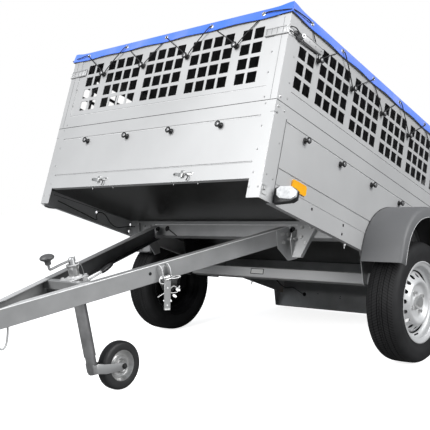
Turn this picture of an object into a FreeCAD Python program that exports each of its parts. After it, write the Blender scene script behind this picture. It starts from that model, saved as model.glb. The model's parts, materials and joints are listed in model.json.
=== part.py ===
import FreeCAD, Part
import math
import os

V = FreeCAD.Vector

# Load body, in its own frame: origin at the foot of the front wall's outer face on the
# centre line, X forward, Y left, Z up. All sizes in mm.
BODY_LENGTH = 2080.0
BODY_WIDTH = 1337.0
WALL_TOP = 386.0
PANEL_TOP = 782.0
FRONT_EDGE = 75.0
SHEET = 2.0
PRESS = 3.0
FLANGE = 26.0
LIP = 25.0
FOLD_SILL = 78.0
FOLD_LOW = 142.0
FOLD_HIGH = 327.0
GROOVE = 4.0
FIELD_LOW = 449.0
FIELD_HIGH = 752.0
FIELD_EDGE = 62.0
RETURN = 28.5
POST_SIDE = 80.0
POST_FRONT = 61.0
POST_TOP = 336.0
FLOOR_UNDER = 80.0
FLOOR_THICK = 9.0
CROSS_BACK = 1400.0

# Windows of the mesh panels.
WINDOW = 48.0
WINDOW_LOW = 472.0
ROW_PITCH = 64.0
COLUMN_PITCH = 61.0
BAR = 44.5
SIDE_FIRST = 87.0
GROUP_PITCH = 273.2

# Rope hooks.
HOOK_LOW = 302.0
HOOK_HIGH = 646.0
HOOK_RADIUS = 7.0
LATCH_LOW = 661.0
LATCH_LONG = 226.0

# Cover.
COVER_THICK = 3.0
COVER_SKIRT = 41.0

# Running gear.
AXLE_BACK = 1069.8
AXLE_LOW = -156.0
TYRE_RADIUS = 272.9
TYRE_WIDTH = 155.0
RIM_RADIUS = 165.0
RIM_FLANGE = 182.5
RIM_WIDTH = 136.0
TYRE_GAP = 17.5
GUARD_OVERHANG = 23.0
GUARD_THICK = 3.0
GUARD_SKIRT = 46.0
GUARD_HALF = 311.0
GUARD_TOP = 271.0
GUARD_FOOT = -49.0
GUARD_ROUND = 2.2
TUBE_SIZE = 54.0
TUBE_BACK = 1055.0
TUBE_LOW = -72.0
STUB_RADIUS = 15.0
HUB_RADIUS = 29.0
ROUND_SIDES = 32

# Drawbar, in its own frame: origin on the tip pivot, X along the level drawbar, Z up.
PIVOT_BACK = 552.0
PIVOT_LOW = -9.0
PIN_RADIUS = 8.0
TIP_ANGLE = 29.64
BEAM_TOP = 53.3
BEAM_TALL = 70.0
BEAM_FLANGE = 38.0
BEAM_SHEET = 3.0
BEAM_REAR = -8.0
BEAM_WIDE = 409.0
BEAM_WIDE_AT = 48.4
BEAM_TAPER = 0.3031
NOSE_HALF = 45.0
NOSE_END = 1350.0
COUPLING_LONG = 150.0
BALL_BACK = 34.0
BALL_RADIUS = 25.5
CUP_TOP = 36.0
SIGHT_HOLE_AT = 656.0
PLATE_FRONT = 893.0
PLATE_REAR = 869.5
CATCH_AT = 602.0
STRAP_LEAN = 12.0
AXLE_PLATE_AT = 560.0

# Jockey wheel, in the drawbar's frame.
JOCKEY_AT = 844.5
JOCKEY_TRAIL = 133.5
JOCKEY_HUB = -362.0
JOCKEY_RADIUS = 100.0
JOCKEY_WIDTH = 50.0
JOCKEY_ARM = -337.0
TUBE_RADIUS = 24.0
INNER_RADIUS = 21.0
TUBE_TOP = 108.0
LEG_TOP = -12.0
TUBE_FOOT = -271.0
CRANK_REACH = 108.0
KNOB_RADIUS = 29.0

# Tailgate hinge: pins on the rear posts.
GATE_PIN = 5.0
GATE_PIN_IN = 10.0
GATE_PIN_UP = 31.0
GATE_LOW = 20.0

# Clearances.
RUN = 0.05
TOUCH = 0.3
MOVE = 6.0

HALF = BODY_WIDTH / 2
TRACK_HALF = HALF + TYRE_GAP + TYRE_WIDTH / 2
GUARD_FAR = TRACK_HALF + TYRE_WIDTH / 2 + GUARD_OVERHANG
ARM_IN = TRACK_HALF - TYRE_WIDTH / 2 - 28
COUPLING_END = NOSE_END + COUPLING_LONG
LEFT_RIGHT = (1, -1)


def plane_point(axis, u, v, w):
    """Put the two flat coordinates and the depth into the order of the axes."""
    if axis == "x":
        return V(w, u, v)
    if axis == "y":
        return V(u, w, v)
    return V(u, v, w)


def prism(axis, points, start, end):
    """Extrude a polygon along an axis: x takes (y, z), y takes (x, z), z takes (x, y)."""
    wire = Part.makePolygon([plane_point(axis, u, v, start) for u, v in points + points[:1]])
    return Part.Face(wire).extrude(plane_point(axis, 0, 0, end - start))


def box(x0, x1, y0, y1, z0, z1):
    """A box between two corners, given in any order."""
    low = V(min(x0, x1), min(y0, y1), min(z0, z1))
    return Part.makeBox(abs(x1 - x0), abs(y1 - y0), abs(z1 - z0), low)


def rod(axis, centre, radius, start, end):
    """A round bar along an axis through a flat centre."""
    low, high = min(start, end), max(start, end)
    base = plane_point(axis, centre[0], centre[1], low)
    return Part.makeCylinder(radius, high - low, base, plane_point(axis, 0, 0, 1))


def ring(axis, centre, outer, inner, start, end):
    """A round tube along an axis."""
    return rod(axis, centre, outer, start, end).cut(rod(axis, centre, inner, start, end))


def offset_line(points, distance):
    """Move a folded line to its left by a distance, with mitred corners."""
    normals = []
    for (u0, v0), (u1, v1) in zip(points, points[1:]):
        long = math.hypot(u1 - u0, v1 - v0)
        normals.append((-(v1 - v0) / long, (u1 - u0) / long))
    moved = []
    for i, (u, v) in enumerate(points):
        a = normals[max(i - 1, 0)]
        b = normals[min(i, len(normals) - 1)]
        scale = distance / (1 + a[0] * b[0] + a[1] * b[1])
        moved.append((u + (a[0] + b[0]) * scale, v + (a[1] + b[1]) * scale))
    return moved


def folded(axis, points, thick, start, end):
    """A folded sheet: the line is its outer face, the thickness lies to its left."""
    return prism(axis, points + offset_line(points, thick)[::-1], start, end)


def mirrored(shape):
    """The same shape on the right side."""
    return shape.mirror(V(0, 0, 0), V(0, 1, 0))


def both(shape):
    """A left piece and its right twin in one compound."""
    return Part.makeCompound([shape, mirrored(shape)])


def fuse(shapes):
    """Join shapes into one solid."""
    joined = shapes[0].fuse(shapes[1:]) if len(shapes) > 1 else shapes[0]
    return joined.removeSplitter()


def faceted_ring(centre, profile, origin, sides, upright=False):
    """Turn a closed (depth, radius) profile about Y, or about Z, in flat facets."""
    def spot(k, d, r):
        a = 2 * math.pi * (k + 0.5) / sides
        u, v = r * math.cos(a), r * math.sin(a)
        if upright:
            return V(centre[0] + u, centre[1] + v, origin + d)
        return V(centre[0] + u, origin + d, centre[1] + v)
    faces = []
    loop = profile + profile[:1]
    for k in range(sides):
        for (d0, r0), (d1, r1) in zip(loop, loop[1:]):
            corners = [spot(k, d0, r0), spot(k, d1, r1), spot(k + 1, d1, r1),
                       spot(k + 1, d0, r0)]
            faces.append(Part.Face(Part.makePolygon(corners + corners[:1])))
    solid = Part.makeSolid(Part.makeShell(faces))
    if solid.Volume < 0:
        solid.reverse()
    return solid


def stud(axis, centre, radius, start, end, sides=8):
    """A many-sided bar along an axis, for small round things."""
    points = []
    for k in range(sides):
        a = 2 * math.pi * (k + 0.5) / sides
        points.append((centre[0] + radius * math.cos(a), centre[1] + radius * math.sin(a)))
    return prism(axis, points, start, end)


def grooved(face, sign, marks):
    """Points up a wall face with a small groove at each (height, depth) mark."""
    points = []
    for z, deep in marks:
        inner = face - sign * deep
        points += [(face, z - deep - 1.5), (inner, z - 1.5), (inner, z + 1.5), (face, z + 1.5)]
    return points


def wall_line(face, low, marks, sign):
    """Outer line of a lower wall: lip, grooved face and top flange."""
    line = [(face - sign * LIP, low), (face, low)] + grooved(face, sign, marks)
    return line + [(face, WALL_TOP), (face - sign * FLANGE, WALL_TOP)]


def slab(place, u0, u1, v0, v1, w0, w1):
    """A box on a wall: u runs along it, v up, w outwards from its outer face."""
    if place == "side":
        return box(-u0, -u1, HALF + w0, HALF + w1, v0, v1)
    if place == "front":
        return box(w0, w1, u0, u1, v0, v1)
    return box(-BODY_LENGTH - w0, -BODY_LENGTH - w1, u0, u1, v0, v1)


def pressed_panel(place, u0, u1, field):
    """A mesh panel between two edges, with its field pressed in and two flanges."""
    f0, f1 = field
    low, high = FIELD_LOW, FIELD_HIGH
    deep = PRESS + SHEET
    plate = slab(place, u0, u1, WALL_TOP, PANEL_TOP, -SHEET, 0)
    plate = plate.cut(slab(place, f0, f1, low, high, -SHEET, 0))
    rim = slab(place, f0, f1, low, high, -deep, 0)
    rim = rim.cut(slab(place, f0 + SHEET, f1 - SHEET, low + SHEET, high - SHEET, -PRESS, 0))
    ends = FLANGE if place != "side" else SHEET
    a, b = (-HALF + ends, HALF - ends) if place != "side" else (ends, BODY_LENGTH - ends)
    foot = slab(place, a, b, WALL_TOP, WALL_TOP + SHEET, -FLANGE, -SHEET)
    head = slab(place, a, b, PANEL_TOP - SHEET, PANEL_TOP, -FLANGE, -SHEET)
    return fuse([plate, rim, foot, head])


def side_columns():
    """Starts of the window columns on a side, from the front to the rear."""
    corner = SIDE_FIRST + COLUMN_PITCH + WINDOW + 2
    groups = max(1, round((BODY_LENGTH - 2 * corner - BAR) / GROUP_PITCH))
    pitch = (BODY_LENGTH - 2 * corner - BAR) / groups
    starts = [SIDE_FIRST, SIDE_FIRST + COLUMN_PITCH + 2]
    step = min(COLUMN_PITCH, (pitch - BAR - WINDOW) / 3)
    for g in range(groups):
        first = corner + BAR + g * pitch
        starts += [first + c * step for c in range(4)]
    return starts + [BODY_LENGTH - s - WINDOW for s in reversed(starts[:2])]


def side_windows():
    """The window tools of the left mesh panel."""
    tools = []
    columns = side_columns()
    for i, start in enumerate(columns):
        rows = 3 if i in (0, len(columns) - 1) else 4
        for r in range(rows):
            z = WINDOW_LOW + r * ROW_PITCH
            tools.append(box(-start, -start - WINDOW, HALF + 5, HALF - 12, z, z + WINDOW))
    return tools


def end_groups():
    """Whole groups of four on each side of the middle one, on the front and the rear."""
    group = 3 * COLUMN_PITCH + WINDOW
    return int((HALF - FIELD_EDGE - group / 2) // (group + BAR))


def front_columns():
    """Left edges and row numbers of the window columns on the front."""
    group = 3 * COLUMN_PITCH + WINDOW
    found = []
    whole = end_groups()
    for g in range(-whole, whole + 1):
        first = g * (group + BAR) - group / 2
        found += [(first + c * COLUMN_PITCH, (0, 1, 2, 3)) for c in range(4)]
    edge = (whole + 0.5) * group + (whole + 1) * BAR
    left = int((HALF - FIELD_EDGE - SHEET - edge + COLUMN_PITCH - WINDOW) // COLUMN_PITCH)
    for c in range(min(3, left)):
        rows = (1, 2) if c == 2 else (0, 1, 2, 3)
        found.append((edge + c * COLUMN_PITCH, rows))
        found.append((-edge - c * COLUMN_PITCH - WINDOW, rows))
    return found


def front_windows(x):
    """The window tools of a front or rear mesh panel."""
    tools = []
    for y, rows in front_columns():
        for r in rows:
            z = WINDOW_LOW + r * ROW_PITCH
            tools.append(box(x - 12, x + 12, y, y + WINDOW, z, z + WINDOW))
    return tools


def side_wall():
    """Left lower wall with its sill, notched for the corner posts."""
    marks = ((FOLD_SILL, GROOVE / 2), (FOLD_LOW, GROOVE), (FOLD_HIGH, GROOVE))
    wall = folded("x", wall_line(HALF, 0, marks, 1), SHEET, -BODY_LENGTH, 0)
    front = box(-POST_SIDE, 1, HALF + 1, HALF - 60, -1, POST_TOP)
    rear = box(-BODY_LENGTH - 1, -BODY_LENGTH + POST_SIDE, HALF + 1, HALF - 60, -1, WALL_TOP + 1)
    corner = box(-SHEET, 1, HALF - SHEET, HALF - 60, POST_TOP, WALL_TOP + 1)
    wall = wall.cut(front).cut(rear).cut(corner)
    holes = [stud("y", (x, z), 7, HALF - 9, HALF + 9)
             for x, z in ((-341, 59), (-PIVOT_BACK - 34, 62), (-PIVOT_BACK - 34, 24))]
    return wall.cut(Part.makeCompound(holes))


def front_wall():
    """Front lower wall between the side walls, notched for the posts."""
    marks = ((FOLD_LOW, GROOVE), (FOLD_HIGH, GROOVE))
    line = wall_line(0, FRONT_EDGE, marks, 1)
    wall = folded("y", line, SHEET, -HALF + SHEET, HALF - SHEET)
    for s in LEFT_RIGHT:
        wall = wall.cut(box(-60, 1, s * (HALF + 1), s * (HALF - POST_FRONT), -1, POST_TOP))
        wall = wall.cut(box(-60, -SHEET, s * HALF, s * (HALF - FLANGE), POST_TOP, WALL_TOP + 1))
    return wall


def corner_post(at_rear):
    """One left corner post, an angle in plan."""
    top = WALL_TOP if at_rear else POST_TOP
    front = POST_FRONT
    line = [(-POST_SIDE, HALF), (0, HALF), (0, HALF - front)]
    post = folded("z", line, -SHEET, 0, top)
    if at_rear:
        post = post.mirror(V(-BODY_LENGTH / 2, 0, 0), V(1, 0, 0))
        edge = HALF - POST_FRONT
        x = -BODY_LENGTH + GATE_PIN_IN
        lug = box(x - GATE_PIN_IN + SHEET, x + 9, edge, edge + 6, GATE_PIN_UP - 9,
                  GATE_PIN_UP + 9)
        pin = rod("y", (x, GATE_PIN_UP), GATE_PIN, edge - 14, edge)
        post = fuse([post, lug, pin])
    return post


def mesh_side():
    """Left mesh panel with its windows, turned a little round both corners."""
    field = (FIELD_EDGE, BODY_LENGTH - FIELD_EDGE)
    panel = pressed_panel("side", 0, BODY_LENGTH, field)
    turn = box(0, -SHEET, HALF - RETURN, HALF - SHEET, WALL_TOP, PANEL_TOP)
    back = turn.mirror(V(-BODY_LENGTH / 2, 0, 0), V(1, 0, 0))
    return fuse([panel, turn, back]).cut(Part.makeCompound(side_windows()))


def mesh_end(place, x):
    """Front or rear mesh panel between the side ones."""
    edge = HALF - RETURN
    field = (-HALF + FIELD_EDGE, HALF - FIELD_EDGE)
    panel = pressed_panel(place, -edge, edge, field)
    return panel.cut(Part.makeCompound(front_windows(x)))


def floor_panel():
    """The floor board, between the pressed-in grooves of the side walls."""
    edge = HALF - SHEET - GROOVE / 2
    return box(-SHEET, -BODY_LENGTH + 26, -edge, edge, FLOOR_UNDER, FLOOR_UNDER + FLOOR_THICK)


def crossmember(front, tall, round_hole):
    """A channel under the floor, its web in front, with a cable hole each side."""
    line = [(front - 50, FLOOR_UNDER), (front, FLOOR_UNDER), (front, FLOOR_UNDER - tall),
            (front - 50, FLOOR_UNDER - tall)]
    piece = folded("y", line, -2.5, -HALF + LIP, HALF - LIP)
    if round_hole:
        for s in LEFT_RIGHT:
            piece = piece.cut(stud("x", (s * (HALF - 242), 36), 13, front - 9, front + 9, 12))
    return piece


def light_board():
    """The folded board below the tail that carries the lamps."""
    x = -BODY_LENGTH + 40
    line = [(x + 30, FLOOR_UNDER), (x, FLOOR_UNDER), (x, -95), (x + 25, -95)]
    board = folded("y", line, SHEET, -HALF + LIP, HALF - LIP)
    ends = []
    for s in LEFT_RIGHT:
        web = box(x, x + SHEET, s * (HALF - LIP), s * HALF, -95, -TOUCH)
        end = prism("y", [(x, -TOUCH), (x + 70, -TOUCH), (x + 25, -95), (x, -95)],
                    s * (HALF - SHEET), s * HALF)
        ends += [web, end]
    return fuse([board] + ends)


def clipped(u0, u1, v0, v1, cut):
    """A rectangle with its corners cut off."""
    return [(u0 + cut, v0), (u1 - cut, v0), (u1, v0 + cut), (u1, v1 - cut), (u1 - cut, v1),
            (u0 + cut, v1), (u0, v1 - cut), (u0, v0 + cut)]


def tail_lamp():
    """Left lamp cluster: a base on the light board and a domed lens."""
    x = -BODY_LENGTH + 40
    base = prism("x", clipped(HALF - 235, HALF - 15, -88, -4, 12), x, x - 14)
    lens = prism("x", clipped(HALF - 231, HALF - 19, -84, -8, 14), x - 14, x - 36)
    return fuse([base, lens])


def plate_holder():
    """The blank plate behind the light board."""
    x = -BODY_LENGTH + 40
    return box(x, x - 8, -262, 262, -92, 13)


def tailgate():
    """The rear lower wall, hinged at its foot."""
    x = -BODY_LENGTH
    wide = HALF - POST_FRONT - MOVE
    low = GATE_LOW
    marks = ((FOLD_LOW, GROOVE), (FOLD_HIGH, GROOVE))
    line = [(x + LIP - 3, low), (x, low)] + grooved(x, -1, marks)
    line += [(x, WALL_TOP - MOVE), (x + LIP - 3, WALL_TOP - MOVE)]
    gate = folded("y", line, -SHEET, -wide, wide)
    cheek = box(x, x + LIP - 3, wide - 3, wide, low, low + 40)
    hole = rod("y", (x + GATE_PIN_IN, GATE_PIN_UP), GATE_PIN + RUN, wide - 9, wide + 9)
    cheek = cheek.cut(hole)
    return fuse([gate, cheek, mirrored(cheek)])


def cover():
    """The cover as a closed cap with a skirt."""
    out = COVER_THICK + 0.5
    top = PANEL_TOP + COVER_THICK
    outer = box(out, -BODY_LENGTH - out, -HALF - out, HALF + out, top - COVER_SKIRT, top)
    inner = box(0.5, -BODY_LENGTH - 0.5, -HALF - 0.5, HALF + 0.5, top - COVER_SKIRT - 1,
                PANEL_TOP)
    return outer.cut(inner)


def hook_places():
    """Along-places of the rope hooks on a side and on an end."""
    columns = side_columns()
    count = (len(columns) - 4) // 4
    ahead = [columns[1 + 4 * g] + WINDOW for g in range(count + 1)]
    group = 3 * COLUMN_PITCH + WINDOW
    whole = end_groups()
    across = [(k + 0.5) * (group + BAR) for k in range(-whole - 1, whole + 1)]
    return [-a - BAR / 2 for a in ahead], across


def rope_hooks():
    """Rope hooks on the walls and, inside the pressed field, on the mesh panels."""
    sides, ends = hook_places()
    hooks = []
    for z, face in ((HOOK_LOW, 0), (HOOK_HIGH, PRESS)):
        for x in sides:
            hooks.append(stud("y", (x, z), HOOK_RADIUS, HALF - face, HALF + 13, 6))
            hooks.append(mirrored(hooks[-1]))
        for y in ends:
            hooks.append(stud("x", (y, z), HOOK_RADIUS, -face, 13, 6))
    tail = -BODY_LENGTH
    for y in ends:
        hooks.append(stud("x", (y, HOOK_HIGH), HOOK_RADIUS, tail + PRESS, tail - 13, 6))
    return Part.makeCompound(hooks)


def corner_latches():
    """Ribbed straps and toggle levers that hold the mesh panels together."""
    pieces = []
    low, reach = LATCH_LOW, LATCH_LONG
    for x, s in ((0, 1), (-BODY_LENGTH, -1)):
        strap = box(x, x + s * 3, HALF - 112, HALF - 4, low + 2, low + 30)
        rails = [box(x + s * 3, x + s * 7, HALF - 112, HALF - 4, z, z + 4)
                 for z in (low + 2, low + 26)]
        ribs = [box(x + s * 3, x + s * 6, HALF - a - 4, HALF - a, low + 6, low + 26)
                for a in (92, 72, 52)]
        hook = box(x + s * 3, x + s * 12, HALF - 22, HALF - 6, low + 6, low + 26)
        lever = prism("y", [(x - s * 8, low + 4), (x - s * 60, low), (x - s * reach, low + 10),
                            (x - s * reach, low + 22), (x - s * 60, low + 34),
                            (x - s * 8, low + 30)], HALF, HALF + 7)
        grip = box(x - s * 14, x - s * 62, HALF + 7, HALF + 14, low + 7, low + 27)
        for piece in (fuse([strap, hook] + rails + ribs), fuse([lever, grip])):
            pieces += [piece, mirrored(piece)]
    return Part.makeCompound(pieces)


def latch_keepers():
    """Two stamped keepers low on the front wall, each with a hooked tab."""
    place = HALF * 0.39
    plate = box(0, 2, place - 54, place + 54, 99, 115)
    tab = prism("y", [(0, 122), (3, 122), (3, 112), (14, 106), (14, 92), (10, 92), (10, 102),
                      (2, 104), (0, 104)], place - 10, place + 10)
    return both(fuse([plate, tab]))


def front_lamp():
    """Left position lamp: black housing on the sill and an eight-sided lens in front."""
    y = HALF
    housing = prism("x", [(y, 4), (y + 9, 3), (y + 82, 9), (y + 98, 19), (y + 98, 51),
                          (y + 78, 66), (y + 20, 69), (y, 62)], -108, -80)
    lens = prism("x", [(y + 15, 56), (y + 19, 30), (y + 35, 18), (y + 88, 13), (y + 107, 23),
                       (y + 107, 48), (y + 80, 66), (y + 28, 66)], -80, -70)
    return fuse([housing, lens])


def side_reflector():
    """Left amber reflector on the lower strip."""
    return prism("y", clipped(-276, -178, 89, 131, 7), HALF, HALF + 6)


def hinge_bracket():
    """Left bracket on the front crossmember with the ear for the pivot pin."""
    x = -PIVOT_BACK - 16
    y = beam_y(0) + 28
    plate = prism("x", [(y, 64), (y + 114, 64), (y + 53, -88), (y, -88)], x, x + 4)
    edge = prism("x", [(y + 114, 64), (y + 53, -88), (y + 49, -88), (y + 110, 64)],
                 x + 4, x + 20)
    ear = prism("y", [(x, 40), (x + 34, 12), (x + 34, -24), (x, -88)], y - 5, y)
    hole = rod("y", (-PIVOT_BACK, PIVOT_LOW), PIN_RADIUS + RUN, y - 20, y + 20)
    return fuse([plate, edge, ear]).cut(hole)


def axle_tube():
    """The square tube of the axle."""
    h = TUBE_SIZE / 2
    x = -TUBE_BACK
    tube = box(x - h, x + h, -ARM_IN, ARM_IN, TUBE_LOW - h, TUBE_LOW + h)
    hollow = box(x - h + 5, x + h - 5, -ARM_IN - 1, ARM_IN + 1, TUBE_LOW - h + 5,
                 TUBE_LOW + h - 5)
    return tube.cut(hollow)


def axle_arm():
    """Left trailing arm with its stub axle."""
    x = -TUBE_BACK
    arm = prism("y", [(x - 26, TUBE_LOW + 26), (x + 26, TUBE_LOW + 26),
                      (-AXLE_BACK + 26, AXLE_LOW - 14), (-AXLE_BACK + 12, AXLE_LOW - 28),
                      (-AXLE_BACK - 12, AXLE_LOW - 28), (-AXLE_BACK - 26, AXLE_LOW - 14)],
                ARM_IN, ARM_IN + 18)
    stub = rod("y", (-AXLE_BACK, AXLE_LOW), STUB_RADIUS - RUN, ARM_IN + 18, TRACK_HALF + 6)
    return fuse([arm, stub])


def axle_bracket():
    """Left plate that ties the axle to the floor frame."""
    x = -TUBE_BACK
    h = TUBE_SIZE / 2
    y = AXLE_PLATE_AT
    plate = prism("y", [(x - 150, FLOOR_UNDER), (x + 150, FLOOR_UNDER), (x + 52, TUBE_LOW - 36),
                        (x - 52, TUBE_LOW - 36)], y, y + 5)
    foot = box(x - 150, x + 150, y - 24, y, FLOOR_UNDER - 4, FLOOR_UNDER)
    plate = fuse([plate, foot])
    return plate.cut(box(x - h, x + h, y - 60, y + 60, TUBE_LOW - h, TUBE_LOW + h))


def guard_arch(steps=8):
    """The mudguard's arch from its front foot over the wheel to its rear foot."""
    front = [(GUARD_HALF, GUARD_FOOT)]
    for k in range(steps):
        a = math.pi / 2 * k / steps
        front.append((GUARD_HALF * math.cos(a) ** (2 / GUARD_ROUND),
                      GUARD_TOP * math.sin(a) ** (2 / GUARD_ROUND)))
    rear = [(-u, v) for u, v in reversed(front)]
    return [(u - AXLE_BACK, v) for u, v in front + [(0, GUARD_TOP)] + rear]


def swept(arch, section):
    """A solid whose closed (depth, inset) section follows an arch in flat facets."""
    rails = [[V(x, y, z) for x, z in offset_line(arch, inset)] for y, inset in section]
    rails.append(rails[0])
    faces = []
    for a, b in zip(rails, rails[1:]):
        for k in range(len(arch) - 1):
            faces.append(Part.Face(Part.makePolygon([a[k], b[k], b[k + 1], a[k + 1], a[k]])))
    for end in (0, -1):
        faces.append(Part.Face(Part.makePolygon([rail[end] for rail in rails])))
    solid = Part.makeSolid(Part.makeShell(faces))
    if solid.Volume < 0:
        solid.reverse()
    return solid


def mudguard():
    """Left mudguard: arched shell with a rounded outer edge, a skirt and a wall flange."""
    t, far = GUARD_THICK, GUARD_FAR
    outside = [(HALF, 0), (far - 14, 0), (far - 4, 4), (far, 14), (far, GUARD_SKIRT)]
    inside = [(far - t, GUARD_SKIRT), (far - t, 14), (far - 14, t), (HALF + t, t),
              (HALF + t, 26), (HALF, 26)]
    return swept(guard_arch(), outside + inside)


def beam_y(x):
    """Outer face of the left beam at a place along the drawbar."""
    return BEAM_WIDE - BEAM_TAPER * (x - BEAM_WIDE_AT)


def beam():
    """Left drawbar beam: a channel open to the middle with a parallel nose."""
    bend = BEAM_WIDE_AT + (BEAM_WIDE - NOSE_HALF) / BEAM_TAPER
    start = BEAM_REAR - 30
    line = [(start, beam_y(start)), (bend, NOSE_HALF), (NOSE_END, NOSE_HALF)]
    low = BEAM_TOP - BEAM_TALL
    web = folded("z", line, -BEAM_SHEET, low, BEAM_TOP)
    top = folded("z", line, -BEAM_FLANGE, BEAM_TOP - BEAM_SHEET, BEAM_TOP)
    foot = folded("z", line, -BEAM_FLANGE, low, low + BEAM_SHEET)
    keep = box(-200, NOSE_END + 1, NOSE_HALF - BEAM_SHEET, 900, -300, 300)
    piece = fuse([web, fuse([top, foot]).common(keep)])
    piece = piece.cut(box(-200, BEAM_REAR, 0, 900, -300, 300))
    y = beam_y(SIGHT_HOLE_AT)
    return piece.cut(stud("y", (SIGHT_HOLE_AT, 24), 5, y - 15, y + 15, 12))


def cross_plate():
    """The angle bar between the beams that carries the jockey clamp."""
    top = BEAM_TOP - BEAM_SHEET
    y0, y1 = beam_y(PLATE_REAR) - 3.3, beam_y(PLATE_FRONT) - 3.3
    flat = prism("z", [(PLATE_REAR, y0), (PLATE_FRONT, y1), (PLATE_FRONT, -y1),
                       (PLATE_REAR, -y0)], top - 4, top)
    leg = box(PLATE_FRONT - 4, PLATE_FRONT, -y1, y1, top - 34, top)
    return fuse([flat, leg])


def tongue_plate():
    """Left plate on the rear end of the beam, with its toe below."""
    points = [(-9, 34), (-4, 51), (60, 51), (66, -28), (22, -94), (-30, -97), (-36, -62),
              (-9, -14)]
    turn = math.degrees(math.atan(BEAM_TAPER))
    plate = prism("y", points, 0, 5)
    plate.rotate(V(0, 0, 0), V(0, 0, 1), -turn)
    plate.translate(V(0, beam_y(0), 0))
    return plate.cut(rod("y", (0, 0), PIN_RADIUS, beam_y(0) - 40, beam_y(0) + 40))


def pivot_pin():
    """Left pivot pin through the beam, the tongue plate and the bracket's ear."""
    return rod("y", (0, 0), PIN_RADIUS, beam_y(0) - 12, beam_y(0) + 38)


def tipping_catch():
    """Left catch on the beam: back plate, fork, ring handle and hanging strap."""
    turn = math.degrees(math.atan(BEAM_TAPER))
    plate = prism("y", clipped(-30, 30, -14, 46, 8), 0, 3)
    cheeks = [prism("y", [(a, -8), (a + 4, -8), (a + 4, 40), (a - 3, 46), (a - 6, 40), (a, 34)],
                    3, 24) for a in (-14, 8)]
    bolt = stud("x", (13, 0), 4, -20, 20, 6)
    ring = faceted_ring((-36, 20), [(-2.5, 13), (2.5, 13), (2.5, 18), (-2.5, 18)], 2, 10, True)
    hang = box(-14, 14, 24, 28, -136, 16)
    strap = turned(hang, -STRAP_LEAN, (0, 8))
    catch = fuse([plate, bolt, strap, ring] + cheeks)
    catch.rotate(V(0, 0, 0), V(0, 0, 1), -turn)
    catch.translate(V(CATCH_AT, beam_y(CATCH_AT), 0))
    return catch


def coupling():
    """Coupling head between the beam ends: square neck, taper and ball cup."""
    wide = NOSE_HALF - BEAM_SHEET
    low = BEAM_TOP - BEAM_TALL
    ball = COUPLING_END - BALL_BACK
    body = box(NOSE_END - 100, NOSE_END + 4, -wide, wide, low + 3, BEAM_TOP - 3)
    plan = [(NOSE_END + 4, -wide), (NOSE_END + 4, wide), (ball, 32), (ball, -32)]
    side = [(NOSE_END - 1, low + 3), (NOSE_END - 1, BEAM_TOP - 3), (ball, CUP_TOP), (ball, -24)]
    taper = prism("z", plan, -60, 90).common(prism("y", side, -90, 90))
    cup = stud("z", (ball, 0), BALL_BACK, -24, 30, 16)
    dome = stud("z", (ball, 0), BALL_BACK - 12, 30, 38, 16)
    socket = rod("z", (ball, 0), BALL_RADIUS, -60, 6)
    return fuse([body, taper, cup, dome]).cut(socket)


def coupling_handle():
    """The lift handle on the sloping top of the coupling head."""
    ball = COUPLING_END - BALL_BACK
    slope = (BEAM_TOP - 3 - CUP_TOP) / (ball - NOSE_END + 1)
    rear, front = ball - 46, ball - 22
    x = ball - 30
    foot = prism("y", [(rear, CUP_TOP + slope * 46), (front, CUP_TOP + slope * 22), (front, 54),
                       (rear, 58)], -13, 13)
    line = [(x + 10, 52), (x - 30, 76), (x - 110, 94), (x - 190, 94)]
    return fuse([folded("y", line, 11, -15, 15), foot])


def jockey_clamp():
    """The clamp casting on the cross bar, with its screw lever behind the tube."""
    low = BEAM_TOP - BEAM_SHEET
    at = (JOCKEY_AT, 0)
    rise = TUBE_RADIUS + 1
    foot = prism("z", clipped(JOCKEY_AT - 40, PLATE_FRONT, -36, 36, 12), low, low + 6)
    foot = foot.cut(stud("z", at, rise, low - 9, low + 9, 16))
    ear = box(JOCKEY_AT - 54, JOCKEY_AT - rise - 1, -11, 11, 14, low)
    step = box(JOCKEY_AT - 40, JOCKEY_AT - rise - 1, -11, 11, low, low + 6)
    lever = prism("y", [(JOCKEY_AT - 50, 18), (JOCKEY_AT - 50, 28), (706, 43), (706, 33)], -5, 5)
    grip = prism("y", [(708, 31), (708, 45), (652, 62), (646, 56), (652, 48)], -8, 8)
    return fuse([foot, ear, step, lever, grip])


def jockey_tube():
    """The outer tube of the jockey wheel, with its waisted cast head on top."""
    at = (JOCKEY_AT, 0)
    neck = BEAM_TOP - BEAM_SHEET + 6
    tube = ring("z", at, TUBE_RADIUS, INNER_RADIUS, TUBE_FOOT, neck)
    r, top = TUBE_RADIUS, TUBE_TOP - neck
    head = faceted_ring(at, [(-6, 2), (-6, r - 2), (0, r - 1), (0, r + 4), (3, r + 4),
                             (7, r * 0.66), (12, r * 0.6), (top - 28, r * 0.7),
                             (top - 13, r * 0.92), (top - 6, r + 1), (top, r + 1), (top, 2)],
                        neck, 16, True)
    core = stud("z", at, 4, neck - 6, TUBE_TOP)
    return fuse([tube, head, core])


def jockey_crank():
    """Cap, crank arm and mushroom knob on top of the outer tube."""
    at = (JOCKEY_AT, 0)
    far = (JOCKEY_AT + CRANK_REACH, 0)
    arm = TUBE_TOP + 10
    cap = stud("z", at, TUBE_RADIUS + 1, TUBE_TOP, TUBE_TOP + 4, 16)
    shaft = stud("z", at, 13, TUBE_TOP + 4, TUBE_TOP + 28, 12)
    bar = box(at[0], far[0] + 5, -5, 5, arm - 5, arm + 5)
    stem = stud("z", far, 5.5, arm - 5, arm + 34)
    collar = stud("z", far, 9, arm + 22, arm + 40, 10)
    r = KNOB_RADIUS
    knob = faceted_ring(far, [(0, 2), (0, r * 0.55), (6, r * 0.93), (12, r), (18, r * 0.9),
                              (23, r * 0.55), (24.5, 2)], arm + 40, 16, True)
    core = stud("z", far, 4, arm + 39, arm + 64)
    return fuse([cap, shaft, bar, stem, collar, knob, core])


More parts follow.
